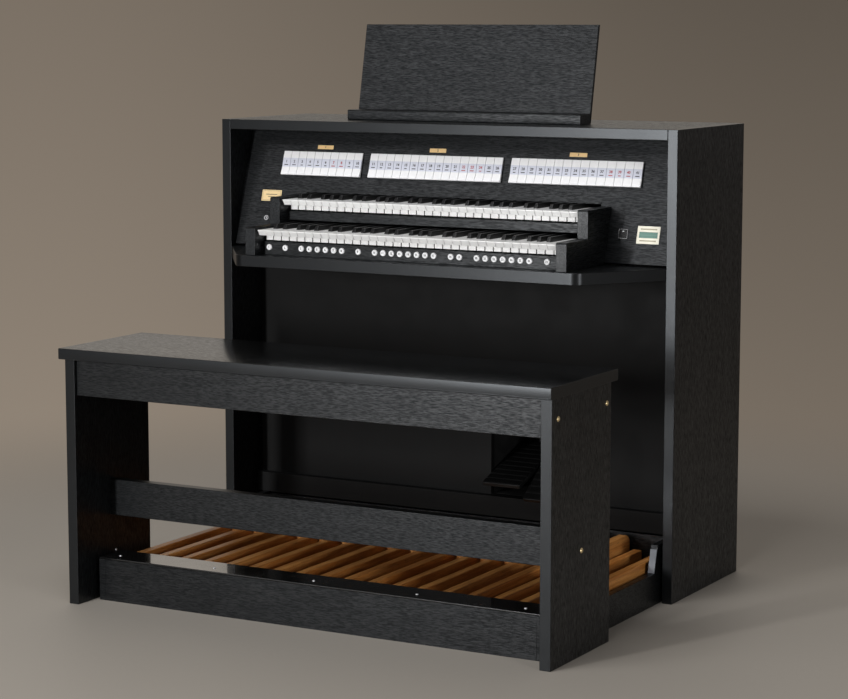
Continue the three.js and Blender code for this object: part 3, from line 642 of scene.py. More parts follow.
# %% Stop panel
PANEL_HALF = reach("stop_panel")[0][1]
PANEL_THICK, PANEL_LOW, PANEL_HIGH, PANEL_EDGE = 19, 5.6, 321.5, 0.0008
NOTCH_HALF, NOTCH_HIGH = 426.7, 156.9
STRIP_LOW, STRIP_THICK, STRIP_BEHIND, STRIP_LAP, STRIP_GAP = 151.5, 3, 0.05, 1, 0.1


def fitting(name, shape, finish, edge=0.0, body="console", slot="black_ash", stands_for=()):
    """A piece that is drawn in the stop panel's own directions."""
    return piece(name, shape, finish, body, slot, edge, stands_for, ON_PANEL)


panel_outline = [
    (-PANEL_HALF, PANEL_LOW), (-NOTCH_HALF, PANEL_LOW), (-NOTCH_HALF, NOTCH_HIGH), (NOTCH_HALF, NOTCH_HIGH),
    (NOTCH_HALF, PANEL_LOW), (PANEL_HALF, PANEL_LOW), (PANEL_HALF, PANEL_HIGH), (-PANEL_HALF, PANEL_HIGH),
]
panel_shape = Shape().prism(rounded(panel_outline), (0, PANEL_THICK), "Y")
strip_half = NOTCH_HALF - STRIP_GAP
panel_shape.board((-strip_half, STRIP_BEHIND, STRIP_LOW), (strip_half, STRIP_THICK, NOTCH_HIGH + STRIP_LAP))
fitting("stop_panel_board", panel_shape, ash_along["X"], PANEL_EDGE, stands_for=["stop_panel"])

# %% [markdown]
# ## Rows of copies
# Tabs, keys, pistons, screws and treads are one form that comes again and again. A small Geometry Nodes tree sets
# copies of a form along a straight row; another sets one on each vertex of a mesh. Both end in Realize Instances,
# so that the result is plain geometry, and in Set Material.

# %% Trees that repeat a form
def new_tree(name, sockets):
    """A Geometry Nodes tree with named inputs, its graph and its input wires."""
    tree = bpy.data.node_groups.new(name, "GeometryNodeTree")
    tree.interface.new_socket("Geometry", in_out="OUTPUT", socket_type="NodeSocketGeometry")
    tree.interface.new_socket("Geometry", in_out="INPUT", socket_type="NodeSocketGeometry")
    for label, kind in sockets.items():
        tree.interface.new_socket(label, in_out="INPUT", socket_type="NodeSocket" + kind)
    graph = Graph(tree)
    first = graph.node("NodeGroupInput")
    return tree, graph, {label: graph.other(first, label) for label in ("Geometry", *sockets)}


def finish_tree(graph, geometry, finish):
    real = graph.node("GeometryNodeRealizeInstances", None, {"Geometry": geometry})
    painted = graph.node("GeometryNodeSetMaterial", None, {"Geometry": real, "Material": finish})
    graph.node("NodeGroupOutput", None, {"Geometry": painted})


def copies_on(graph, points, ends):
    form = graph.node("GeometryNodeObjectInfo", None, {"Object": ends["Copy"]}, out="Geometry")
    copies = graph.node("GeometryNodeInstanceOnPoints", None, {"Points": points, "Instance": form})
    finish_tree(graph, copies, ends["Finish"])


def row_tree():
    kinds = {"Count": "Int", "Start": "Vector", "Step": "Vector", "Copy": "Object", "Finish": "Material"}
    tree, graph, ends = new_tree("row of copies", kinds)
    values = {"Count": ends["Count"], "Start Location": ends["Start"], "Offset": ends["Step"]}
    copies_on(graph, graph.node("GeometryNodeMeshLine", {"mode": "OFFSET"}, values), ends)
    return tree


def spots_tree():
    tree, graph, ends = new_tree("copies on points", {"Copy": "Object", "Finish": "Material"})
    copies_on(graph, ends["Geometry"], ends)
    return tree


ROW, SPOTS = row_tree(), spots_tree()


# %% Running a tree
def grown(tree, points=(), **inputs):
    """The mesh that a tree makes from points and the values of its named inputs."""
    base = bpy.data.meshes.new("base")
    base.from_pydata([tuple(point) for point in points], [], [])
    thing = as_object("maker", base)
    modifier = thing.modifiers.new("tree", "NODES")
    modifier.node_group = tree
    for socket in tree.interface.items_tree:
        if socket.in_out == "INPUT" and socket.name in inputs:
            modifier[socket.identifier] = inputs[socket.name]
    mesh = flattened(thing).data
    bpy.data.objects.remove(thing)
    return mesh


def map_from_front(mesh, corner, wide, high):
    """A UV map from 0 to 1 over a rectangle seen from the front."""
    layer = mesh.uv_layers.new(name="UVMap")
    for loop in mesh.loops:
        x, _, z = mesh.vertices[loop.vertex_index].co
        layer.data[loop.index].uv = ((x - corner[0]) / wide, (z - corner[1]) / high)


def set_out(shape, finish, rows=(), spots=(), edge=0.0, segments=2, own_map=None):
    """The meshes of a form that is copied along rows (count, start, step) and on spots."""
    copy = as_object("copy", shape.solid("copy"))
    if edge:
        eased(copy, edge, segments)
    if own_map:
        map_from_front(copy.data, *own_map)
    inputs = {"Copy": copy, "Finish": finish}
    meshes = [grown(ROW, Count=count, Start=start, Step=step, **inputs) for count, start, step in rows]
    if spots:
        meshes.append(grown(SPOTS, spots, **inputs))
    bpy.data.objects.remove(copy)
    return meshes


def joined(meshes, moved=Matrix.Identity(4)):
    """Several meshes as one, put in their place."""
    whole = bmesh.new()
    for mesh in meshes:
        whole.from_mesh(mesh)
    made = bpy.data.meshes.new("joined")
    whole.to_mesh(made)
    whole.free()
    made.transform(moved)
    return made


CREASE, FLAT_WEIGHT = math.radians(50), 80


def repeated(name, meshes, finish, body, slot, stands_for=(), moved=HERE):
    """One piece of many copies, smooth on its round parts and flat on its flat ones."""
    thing = as_object(name, joined(meshes, moved), finish)
    plain_normals(thing.data)
    for face in thing.data.polygons:
        face.use_smooth = True
    thing.data.set_sharp_from_angle(angle=CREASE)
    weighted = thing.modifiers.new("flat faces stay flat", "WEIGHTED_NORMAL")
    weighted.weight, weighted.keep_sharp = FLAT_WEIGHT, True
    return settle(flattened(thing), body, slot, *stands_for)


print("trees", ROW.name, SPOTS.name)

# %% [markdown]
# ## Stop tabs
# Forty-one tabs stand in three groups on one grid, with one step left out between two groups. A tab is a rocking
# plate: its foot flares towards the player, its head falls back, and a stem runs through the panel to the rod. All
# are the same, so one profile is pushed along and the tree for rows sets it out. The form gets its UV map before it
# is copied, and each copy keeps it.

# %% Stop tabs
TAB_GROUPS = (10, 16, 15)
TAB_FIRST, TAB_LAST = -511.0, 529.6
TAB_STEP = (TAB_LAST - TAB_FIRST) / (sum(TAB_GROUPS) + len(TAB_GROUPS) - 1)
TAB_FOOT, TAB_HIGH, TAB_GAP, TAB_EDGE = 195.5, 64.5, 0.9, 0.7
TAB_BACK, TAB_FACE, TAB_HEAD, TAB_FLARE = -2.6, -7.0, -5.3, -10.4
STEM_HALF, STEM_REACH, STEM_LOW, STEM_HIGH = 6, (-4, 25), 25, 39
tab_profile = [
    (TAB_BACK, 0), (TAB_BACK, TAB_HIGH), (TAB_HEAD, TAB_HIGH, 1.0), (TAB_FACE, 0.72 * TAB_HIGH),
    (TAB_FACE, 0.30 * TAB_HIGH), (TAB_FLARE, 0, 1.2),
]
tab_shape = Shape().prism(rounded(tab_profile, steps=3), (TAB_GAP / 2, TAB_STEP - TAB_GAP / 2))
stem_low = (TAB_STEP / 2 - STEM_HALF, STEM_REACH[0], STEM_LOW)
tab_shape.board(stem_low, (TAB_STEP / 2 + STEM_HALF, STEM_REACH[1], STEM_HIGH))
tab_rows, tab_places, step = [], [], 0
for count in TAB_GROUPS:
    start = TAB_FIRST + step * TAB_STEP
    tab_rows.append((count, (start, 0, TAB_FOOT), (TAB_STEP, 0, 0)))
    tab_places += [start + (k + 0.5) * TAB_STEP for k in range(count)]
    step += count + 1
tabs = set_out(tab_shape, tab_white, tab_rows, edge=TAB_EDGE, own_map=((0, 0), TAB_STEP, TAB_HIGH))
repeated("stop_tab_rows", tabs, tab_white, "stop_tabs", "white_button", ["stop_tabs"], ON_PANEL)
print(len(tab_places), "tabs, step", round(TAB_STEP, 2))

# %% [markdown]
# ## Plain numbers
# Tabs, pistons and plates are numbered. The numbers could be drawn in a texture, but a mesh stays sharp from near. A
# text object is turned into a thin mesh first and then put in its place, and all numbers of one colour on one body
# are one piece.

# %% Numbers
PRINT_HIGH, PRINT_LAP, STROKE = 0.05, 0.03, 0.035


class Numbers:
    """Thin numbers and rules collected in one mesh, in millimetres."""

    def __init__(self):
        self.meshes = []

    def write(self, text, place, size, facing=math.radians(90)):
        curve = bpy.data.curves.new("number", "FONT")
        curve.body, curve.size, curve.extrude, curve.resolution_u = text, size, PRINT_HIGH, 2
        curve.offset = size * STROKE
        curve.align_x, curve.align_y = "CENTER", "CENTER"
        thing = as_object("number", curve)
        mesh = bpy.data.meshes.new_from_object(thing.evaluated_get(bpy.context.evaluated_depsgraph_get()))
        bpy.data.objects.remove(thing)
        mesh.transform(Matrix.Translation(place) @ Matrix.Rotation(facing, 4, "X"))
        self.meshes.append(mesh)

    def rule(self, place, width, height):
        half = (width / 2, PRINT_HIGH, height / 2)
        low, high = [[p + way * h for p, h in zip(place, half)] for way in (-1, 1)]
        self.meshes.append(Shape().board(low, high).solid("rule"))

    def frame(self, middle, width, height, thickness):
        """Four rules round a middle."""
        x, y, z = middle
        for way in (-1, 1):
            self.rule((x, y, z + way * height / 2), width, thickness)
            self.rule((x + way * width / 2, y, z), thickness, height)

    def settle(self, name, finish, body, slot, moved):
        thing = as_object(name, joined(self.meshes, moved), finish)
        return settle(thing, body, slot)


# %% Numbers on the tabs
RED_TABS = {7, 8, 22, 23, 24, 38, 39, 40}
NUMBER_SIZE, NUMBER_RISE, RULE_RISE = 9.5, 0.56, 0.42
RULE_LONG, RULE_SHORT, RULE_THICK = 11.0, 7.0, 2.2
black_numbers, red_numbers = Numbers(), Numbers()
for number, x in enumerate(tab_places, start=1):
    numbers = red_numbers if number in RED_TABS else black_numbers
    numbers.write(str(number), (x, TAB_FACE - PRINT_LAP, TAB_FOOT + NUMBER_RISE * TAB_HIGH), NUMBER_SIZE)
    under = (x, TAB_FACE - PRINT_LAP, TAB_FOOT + RULE_RISE * TAB_HIGH)
    numbers.rule(under, RULE_LONG if number % 3 else RULE_SHORT, RULE_THICK)
black_numbers.settle("tab_numbers_black", ink, "stop_tabs", "white_button", ON_PANEL)
red_numbers.settle("tab_numbers_red", red_ink, "stop_tabs", "white_button", ON_PANEL)

# %% [markdown]
# ## Naturals
# The naturals of an octave have seven shapes, because each is cut round its neighbours' sharps; the last C has none
# on its right. Each shape is a thin top plate on a head with a slanting lip, and under the head hangs a skirt with a
# rebate along its top, which draws the dark line between lip and skirt. A shape comes back every seven keys, so each
# is a row of five.

# %% Natural shapes
OCTAVE, OCTAVES = 7, 5
SHARP_SHIFT = {0: -0.1, 1: 0.1, 3: -0.13, 4: 0.0, 5: 0.13}
PITCH = NATURAL_PITCH / MM
KEY_GAP, HEAD, SHARP_WIDE, KEY_ROUND, KEY_EDGE = 0.9, 50.0, 11.0, 0.8, 0.4
PLATE_THICK, LIP_LOW, LIP_BACK, LIP_GAP, OVERLAP = 2.0, 14.0, 9.0, 0.35, 0.4
SKIRT_FRONT, SKIRT_REAR, SKIRT_LOW, SKIRT_GAP, REBATE, LINE_HIGH = 40.0, 46.5, 28.0, 1.2, 4.0, 2.0


def tail_of(n, last):
    """Where the tail of a natural starts and ends across the key."""
    slot = SHARP_WIDE / 2 + KEY_GAP
    left, right = KEY_GAP / 2, PITCH - KEY_GAP / 2
    before = (n - 1) % OCTAVE
    if before in SHARP_SHIFT:
        left = SHARP_SHIFT[before] * PITCH + slot
    if n in SHARP_SHIFT and not last:
        right = PITCH * (1 + SHARP_SHIFT[n]) - slot
    return left, right


def natural_shape(n, rear, last=False):
    """A plate cut round the sharps, on a head with a slanting lip, a tail and a skirt."""
    left, right = KEY_GAP / 2, PITCH - KEY_GAP / 2
    tail_left, tail_right = tail_of(n, last)
    shoulder = HEAD - KEY_GAP
    plate = [(left, 0.0, KEY_ROUND), (right, 0.0, KEY_ROUND), (right, shoulder), (tail_right, shoulder)]
    plate += [(tail_right, rear), (tail_left, rear), (tail_left, shoulder), (left, shoulder)]
    plate = [corner for i, corner in enumerate(plate) if corner[:2] != plate[i - 1][:2]]
    shape = Shape().prism(rounded(plate, steps=3), (-PLATE_THICK, 0), "Z")
    under = OVERLAP - PLATE_THICK
    lip = [(0.6, under), (LIP_BACK, -LIP_LOW), (shoulder - 1, -LIP_LOW), (shoulder - 1, under)]
    shape.prism(rounded(lip), (left + LIP_GAP, right - LIP_GAP))
    shape.board((tail_left + 0.1, shoulder - 3, 0.1 - LIP_LOW), (tail_right - 0.1, rear - 0.1, under))
    side, other_side = left + SKIRT_GAP, right - SKIRT_GAP
    shape.board((side, SKIRT_FRONT + REBATE, -LIP_LOW - LINE_HIGH), (other_side, SKIRT_REAR, OVERLAP - LIP_LOW))
    shape.board((side, SKIRT_FRONT, -SKIRT_LOW), (other_side, SKIRT_REAR, OVERLAP - LIP_LOW - LINE_HIGH))
    return shape


# %% Rows of naturals
def manual(name):
    (x0, _), (nose, rear), (_, top) = reach(f"{name}_naturals")
    keys = []
    for n in range(OCTAVE):
        row = (OCTAVES, (x0 + n * PITCH, nose, top), (OCTAVE * PITCH, 0, 0))
        keys += set_out(natural_shape(n, rear - nose), ivory, [row], edge=KEY_EDGE)
    last_spot = (x0 + OCTAVES * OCTAVE * PITCH, nose, top)
    keys += set_out(natural_shape(0, rear - nose, last=True), ivory, spots=[last_spot], edge=KEY_EDGE)
    repeated(f"{name}_natural_keys", keys, ivory, f"{name}_naturals", "white_key", [f"{name}_naturals"])
    return x0, nose, top


# %% [markdown]
# ## Sharps
# A sharp is a tapered block with a sloping front. All are alike, so one outline is pushed across the key and its
# upper half drawn in. The five places in the octave are five rows of that form.

# %% Rows of sharps
SHARP_HIGH, SHARP_LOW, SHARP_SLOPE, SHARP_TAPER, SHARP_EDGE = 12.0, -9, 7, 0.2, 1.1


def sharp_shape(rear):
    nose = [(HEAD + SHARP_SLOPE, SHARP_HIGH, 4), (HEAD, 2, 2)]
    side = rounded([(HEAD, SHARP_LOW), (rear, SHARP_LOW), (rear, SHARP_HIGH), *nose], steps=4)
    shape = Shape().prism(side, (-SHARP_WIDE / 2, SHARP_WIDE / 2))
    for vert in shape.mesh.verts:
        if vert.co.z > 0:
            vert.co.x *= 1 - SHARP_TAPER * vert.co.z / SHARP_HIGH
    return shape


def sharps(name, x0, nose, top):
    starts = [(x0 + (n + 1 + shift) * PITCH, nose, top) for n, shift in SHARP_SHIFT.items()]
    rows = [(OCTAVES, start, (OCTAVE * PITCH, 0, 0)) for start in starts]
    shape = sharp_shape(reach(f"{name}_sharps")[1][1] - nose)
    keys = set_out(shape, sharp_black, rows, edge=SHARP_EDGE, segments=3)
    repeated(f"{name}_sharp_keys", keys, sharp_black, f"{name}_sharps", "black_key", [f"{name}_sharps"])


for name in ("lower", "upper"):
    x0, nose, top = manual(name)
    sharps(name, x0, nose, top)
    print(name, "manual: nose", round(nose, 1), "top", round(top, 1))

# %% [markdown]
# ## Thumb pistons
# The pistons are white buttons in holes of the rail under the lower manual. A button is round, so its dished face,
# rim and stem are one profile that is turned. They stand on a grid with gaps, so the copies are set on points.

# %% Thumb pistons
PISTON_PLACES = [0, 2, *range(4, 10), 11, *range(13, 21), 22, 23, *range(25, 32), 33]
PISTON_RISE, PISTON_R = 19.3, 7.75
PISTON_Z = TABLE / MM + PISTON_RISE
piston_face = reach("thumb_pistons")[1][0]
piston_first, piston_last = [end + way * PISTON_R for end, way in zip(reach("thumb_pistons")[0], (1, -1))]
PISTON_STEP = (piston_last - piston_first) / PISTON_PLACES[-1]
button = [
    (0, 0.0), (4.4, 0.05), (5.4, 0.35), (6.2, 0.1), (6.9, 0.25), (7.5, 0.9), (PISTON_R, 1.6), (PISTON_R, 6), (4, 6),
    (4, 11), (0, 11),
]
piston_spots = [(piston_first + place * PISTON_STEP, piston_face, PISTON_Z) for place in PISTON_PLACES]
pistons = set_out(Shape().turned(button), button_white, spots=piston_spots)
repeated("thumb_piston_row", pistons, button_white, "thumb_pistons", "white_button", ["thumb_pistons"])
PISTON_NUMBER = 7.2
piston_numbers = Numbers()
for number, (x, y, z) in enumerate(piston_spots, start=1):
    piston_numbers.write(str(number), (x, y, z), PISTON_NUMBER)
piston_numbers.settle("piston_numbers", ink, "thumb_pistons", "white_button", HERE)
print(len(piston_spots), "pistons")

# %% [markdown]
# ## Small fittings on the stop panel
# Three brass plates over the tabs, a yellow plate and the lock at the left end, the phones socket and the display
# at the right end. Each stands on the panel's face, so it is drawn in the panel's own directions: x along it, y into
# it and z up it. They are boards with eased corners and turned rings, and no picture is needed on them.

# %% Plates
PLATE_MIDDLES, PLATE_HALF, PLATE_LOW, PLATE_HIGH = (-388, -51, 348), 24, 268.5, 279
PLATE_NUMBER, NUMBER_HIGH = 7.5, 273.7
PLATE_FACE, PRINT_FACE, PLATE_ROUND, PLATE_EDGE = -0.9, -0.92, 1.0, 0.0003
plates, plate_numbers = Shape(), Numbers()
for number, x in enumerate(PLATE_MIDDLES, start=1):
    plates.board((x - PLATE_HALF, PLATE_FACE, PLATE_LOW), (x + PLATE_HALF, 0, PLATE_HIGH), PLATE_ROUND, "Y")
    plate_numbers.write(str(number), (x, PRINT_FACE, NUMBER_HIGH), PLATE_NUMBER)
fitting("brass_plates", plates, pale_brass, PLATE_EDGE)
plate_numbers.settle("plate_numbers", ink, "console", "black_ash", ON_PANEL)
YELLOW_LOW, YELLOW_HIGH, YELLOW_X, YELLOW_S = (-565, PLATE_FACE, 124), (-504.6, 0, 154), -534.8, 139
YELLOW_FRAME, YELLOW_RULES = (55, 25, 0.5), ((142, 34, 1.6), (136, 22, 1.2))
yellow = Shape().board(YELLOW_LOW, YELLOW_HIGH, PLATE_ROUND, "Y")
fitting("yellow_plate", yellow, plate_yellow, PLATE_EDGE)
border = Numbers()
border.frame((YELLOW_X, PRINT_FACE, YELLOW_S), *YELLOW_FRAME)
for z, wide, high in YELLOW_RULES:
    border.rule((YELLOW_X, PRINT_FACE, z), wide, high)
border.settle("yellow_plate_border", ink, "console", "black_ash", ON_PANEL)

# %% Lock
LOCK_X, LOCK_S, CORE_R, KEYWAY = -541.6, 78.7, 4.45, (0.8, 3.2)
LOCK_MIDDLE, AS_LOCK = (LOCK_X, 0, LOCK_S), {"body": "key_switch", "slot": "lock_steel"}
lock_ring = [(4.5, -0.8), (5.0, -2.0), (6.0, -2.0), (6.7, -1.4), (6.7, -0.3), (4.5, -0.3), (4.5, -0.8)]
lock = Shape().turned(lock_ring, LOCK_MIDDLE, steps=32)
fitting("lock_ring", lock, steel, stands_for=["key_switch"], **AS_LOCK)
core = Shape().turned([(0, -0.7), (CORE_R, -0.7), (CORE_R, 24), (0, 24)], LOCK_MIDDLE)
fitting("lock_core", core, dark_plastic, 0.0002, **AS_LOCK)
low, high = [(LOCK_X + way * KEYWAY[0], y, LOCK_S + way * KEYWAY[1]) for way, y in ((-1, -1.0), (1, -0.6))]
fitting("lock_keyway", Shape().board(low, high, 0.5, "Y"), steel, **AS_LOCK)

# %% Phones socket
SOCKET_X, SOCKET_S, SOCKET_HALF, SOCKET_FACE = 496.2, 79.7, 13, -1.8
SOCKET_FRAME, SOCKET_RULE, RULE_UP = (22.6, 22.6, 0.5), (4.5, 2.4), 6.4
low, high = [(SOCKET_X + half, y, SOCKET_S + half) for half, y in ((-SOCKET_HALF, SOCKET_FACE), (SOCKET_HALF, 0))]
fitting("socket_plate", Shape().board(low, high, 1.5, "Y"), dark_plastic, 0.0004, slot="black_carcass")
ring = [(3.0, -1.4), (3.0, -3.0), (3.5, -3.4), (4.6, -3.4), (5.2, -2.8), (5.2, -1.4), (3.0, -1.4)]
collar = Shape().turned(ring, (SOCKET_X, 0, SOCKET_S - 3), steps=32)
fitting("socket_collar", collar, dark_plastic, slot="black_carcass")
socket_marks = Numbers()
socket_marks.rule((SOCKET_X, SOCKET_FACE - PRINT_LAP, SOCKET_S + RULE_UP), *SOCKET_RULE)
socket_marks.frame((SOCKET_X, SOCKET_FACE - PRINT_LAP, SOCKET_S), *SOCKET_FRAME)
socket_marks.settle("socket_legend", legend_grey, "console", "black_carcass", ON_PANEL)

# %% [markdown]
# ## Display
# A cream bezel with a groove above and below its window, and a dark green liquid crystal in the window. Neither groove
# is cut: each is a thin darker cream strip on the bezel, painted shade. The bezel is four bars round the window, so
# nothing has to be cut out. The crystal's cells follow the screen and not the room, so the screen gets a UV map and
# the cells are worked out from it.

# %% Display
DISPLAY_X, DISPLAY_S, WINDOW, BEZEL = 564.0, 79.0, (49, 15), (60, 44)
SCREEN_WIDE, SCREEN_HIGH, SCREEN_CELLS = 50, 15.6, (16, 2)
GROOVE_HALF, GROOVE_THICK, GROOVE_RISE = 22, 1.6, 14.5


def screen_finish():
    finish = Finish("green liquid crystal")
    across, up, _ = finish.parts(finish.own_map)
    columns = ((across * SCREEN_CELLS[0]).fraction() - 0.5).size().ramp(0.38, 0.46)
    rows = ((up * SCREEN_CELLS[1]).fraction() - 0.5).size().ramp(0.36, 0.46)
    lines = columns.at_least(rows)
    return finish.paint(
        Base_Color=finish.mix(lines, (0.070, 0.185, 0.140, 1), (0.100, 0.230, 0.185, 1)),
        Roughness=0.12 + lines * 0.1,
        Coat_Weight=0.4,
    )


def frame_bars(shape, x, s, inner, outer, low, high):
    """A rectangular frame of four bars round a window."""
    (iw, ih), (ow, oh) = inner, outer
    for way in (-1, 1):
        a, b = sorted((s + way * ih / 2, s + way * oh / 2))
        shape.board((x - ow / 2, low, a), (x + ow / 2, high, b))
        a, b = sorted((x + way * iw / 2, x + way * ow / 2))
        shape.board((a, low, s - ih / 2), (b, high, s + ih / 2))


bezel = Shape()
frame_bars(bezel, DISPLAY_X, DISPLAY_S, WINDOW, BEZEL, -2.4, 0)
fitting("display_bezel", bezel, cream, 0.0005, slot="white_key")
# Painted groove shade: a thin darker cream strip above the window and one below it, laid on the bezel.
groove_shade_strips = Shape()
for way in (-1, 1):
    s = DISPLAY_S + way * GROOVE_RISE
    groove_shade_strips.board((DISPLAY_X - GROOVE_HALF, -2.5, s - GROOVE_THICK), (DISPLAY_X + GROOVE_HALF, -2.2, s + GROOVE_THICK))
fitting("display_grooves", groove_shade_strips, groove_shade_cream, slot="white_key")
low, high = [
    (DISPLAY_X + way * SCREEN_WIDE / 2, y, DISPLAY_S + way * SCREEN_HIGH / 2) for way, y in ((-1, -1.5), (1, -0.2))
]
screen_mesh = Shape().board(low, high).solid("display_screen")
map_from_front(screen_mesh, (low[0], low[2]), SCREEN_WIDE, SCREEN_HIGH)
screen_mesh.transform(ON_PANEL)
settle(as_object("display_screen", screen_mesh, screen_finish()), "console", "black_gloss")

# %% [markdown]
# ## Music desk
# A ledge with a rounded front edge and a thin board that leans back on it. Seen from the end, each is an outline of
# four corners, so both are pushed along X and need no turning. They are two boards, so they are two closed forms.

# %% Music desk
DESK_LEAN, DESK_THICK, LEDGE_HIGH, DESK_EDGE = 50 / 248, 10, 26.2, 0.001
(desk_x0, desk_x1), (desk_y0, _), (desk_z0, desk_z1) = reach("music_desk")
DESK_FOOT = desk_y0 + 52
ledge_top = desk_z0 + LEDGE_HIGH
ledge = [(desk_y0, desk_z0, 2), (DESK_FOOT + 8, desk_z0), (DESK_FOOT + 8, ledge_top), (desk_y0, ledge_top, 4)]
rest = [
    (DESK_FOOT, desk_z0), (DESK_FOOT + DESK_THICK, desk_z0),
    (DESK_FOOT + DESK_THICK + DESK_LEAN * (desk_z1 - desk_z0), desk_z1),
    (DESK_FOOT + DESK_LEAN * (desk_z1 - desk_z0), desk_z1),
]
desk = Shape().prism(rounded(ledge), (desk_x0, desk_x1)).prism(rounded(rest), (desk_x0, desk_x1))
piece("music_desk_boards", desk, ash_along["X"], "console", "black_ash", DESK_EDGE, ["music_desk"], HERE)

# %% [markdown]
# ## Bench
# The bench is a frame of flat boards under a thick seat. The legs' grain runs up, that of the others along. As on
# the console, the boards are copies of their solids with the edges broken.

# %% Bench boards
SEAT_EDGE = 0.0015
for leg in ("bench_side_left", "bench_side_right"):
    softened(leg, ash_along["Z"], BOARD_EDGE)
for board in ("bench_apron_front", "bench_apron_rear", "bench_stretcher"):
    softened(board, ash_along["X"], BOARD_EDGE)
softened("bench_top", worn_ash, SEAT_EDGE)

# %% [markdown]
# ## Bolts and screws
# Brass bolts with domed heads hold the bench's legs, bright screws hold the heel plate and the back board. Each kind
# is one turned form whose head faces the right way, set on points.

# %% Bolts and screws
DOME = [(0, 3.4), (1.6, 3.3), (3.4, 2.8), (5.0, 1.9), (6.1, 0.7), (6.5, 0.0), (6.5, -0.6), (0, -0.6)]
SCREW = [(0, 0.5), (1.3, 0.5), (1.5, 1.6), (2.6, 1.4), (3.6, 0.7), (4.0, 0.0), (4.0, -0.4), (0, -0.4)]
FLUSH = [(0, -0.7), (1.4, -0.7), (1.6, 0.0), (3.8, 0.0), (3.8, -0.8), (0, -0.8)]


def fasteners(name, profile, axis, way, spots, finish, body, slot="lock_steel"):
    turned = [(radius, t * way) for radius, t in profile]
    meshes = set_out(Shape().turned(turned, axis=axis), finish, spots=spots)
    return repeated(name, meshes, finish, body, slot)


BOLT_PLACES, LEG_SCREW_PLACE = ((-676, 561), (-424, 561), (-552, 244)), (-549, 108)
for side, way in (("right", 1), ("left", -1)):
    inner, outer = reach(f"bench_side_{side}")[0][::way]
    fasteners(f"bench_bolts_{side}", DOME, "X", way, [(outer, y, z) for y, z in BOLT_PLACES], brass, "bench")
    fasteners(f"bench_screw_{side}", SCREW, "X", -way, [(inner, *LEG_SCREW_PLACE)], steel, "bench")
HEEL_TOP, HEEL_SCREW_Y = reach("pedal_heel_plate")[2][1], -603
heel_spots = [(x, HEEL_SCREW_Y, HEEL_TOP) for x in (-566, -287, -4.5, 276, 557)]
fasteners("heel_plate_screws", SCREW, "Z", 1, heel_spots, steel, "console")
(back_x0, back_x1), (_, back_y), (back_z0, back_z1) = reach("console_back")
ACROSS, UP, FROM_SIDE, FROM_END = 5, 4, 20, 16
back_spots = []
for k in range(ACROSS + 1):
    x = back_x0 + FROM_SIDE + k * (back_x1 - back_x0 - 2 * FROM_SIDE) / ACROSS
    back_spots += [(x, back_y, back_z0 + FROM_END), (x, back_y, back_z1 - FROM_END)]
for k in range(1, UP):
    z = back_z0 + FROM_END + k * (back_z1 - back_z0 - 2 * FROM_END) / UP
    back_spots += [(back_x0 + FROM_SIDE, back_y, z), (back_x1 - FROM_SIDE, back_y, z)]
fasteners("back_board_screws", FLUSH, "Y", 1, back_spots, dull_steel, "console")
print(len(BOLT_PLACES) * 2, "bolts,", len(heel_spots) + len(back_spots) + 2, "screws")

# %% [markdown]
# ## Pedalboard frame
# A black box with a polished heel plate on its front board and raised blocks at the rear ends of its sides. A grey
# catch plate covers the leaning front of each block. The frame is one solid, but the real one is made of boards, so
# a Boolean cuts the two fine lines where the front board meets the sides.

# %% Pedalboard frame
pedal_box = softened("pedal_frame", ash_along["X"], BOARD_EDGE, band=False)
(frame_left, frame_right), (frame_front, _), (frame_low, frame_high) = reach("pedal_frame")
BOARD, LINE, DEEP = 18, 0.7, 1.2
joint_lines = Shape()
for x in (frame_left + BOARD, frame_right - BOARD):
    low = (x - LINE / 2, frame_front - DEEP, frame_low - DEEP)
    joint_lines.board(low, (x + LINE / 2, frame_front + DEEP, frame_high + DEEP))
lines = as_object("joint_lines", joint_lines.solid("joint_lines", HERE))
cut = pedal_box.modifiers.new("joint lines", "BOOLEAN")
cut.object, cut.operation, cut.solver = lines, "DIFFERENCE", "EXACT"
flattened(pedal_box)
bpy.data.objects.remove(lines)
softened("pedal_heel_plate", gloss, SEAT_EDGE, "black_gloss", band=False)
BLOCK_FOOT_Y, BLOCK_FOOT_Z, BLOCK_LEAN = -28, 79, math.tan(math.radians(15))
CATCH_WIDE, CATCH_SIDE, CATCH_THICK, CATCH_EDGE = 17, 0.5, 2, 0.0004
low, high = BLOCK_FOOT_Z + 1, BLOCK_FOOT_Z + 58
foot, head = [BLOCK_FOOT_Y + (z - BLOCK_FOOT_Z) * BLOCK_LEAN for z in (low, high)]
catch_outline = rounded([(foot, low), (head, high), (head - CATCH_THICK, high), (foot - CATCH_THICK, low)])
for side, x in (("left", frame_left + CATCH_SIDE), ("right", frame_right - CATCH_SIDE - CATCH_WIDE)):
    catch = Shape().prism(catch_outline, (x, x + CATCH_WIDE))
    piece(f"catch_plate_{side}", catch, catch_grey, "console", "lock_steel", CATCH_EDGE, (), HERE)

# %% [markdown]
# ## Pedals
# A pedal is an oak slat with eased edges; a sharp carries a tall block with a rounded nose. Thirty pieces that differ
# only in their sizes follow a rule, so a tree makes them: a rectangle with filleted corners is swept along the
# length, and for a block the height is then lowered along a circle towards both ends. The points of the path lie
# closer where the circle is.

# %% Pedal tree
PATH_POINTS, CROWDING = 41, 0.135


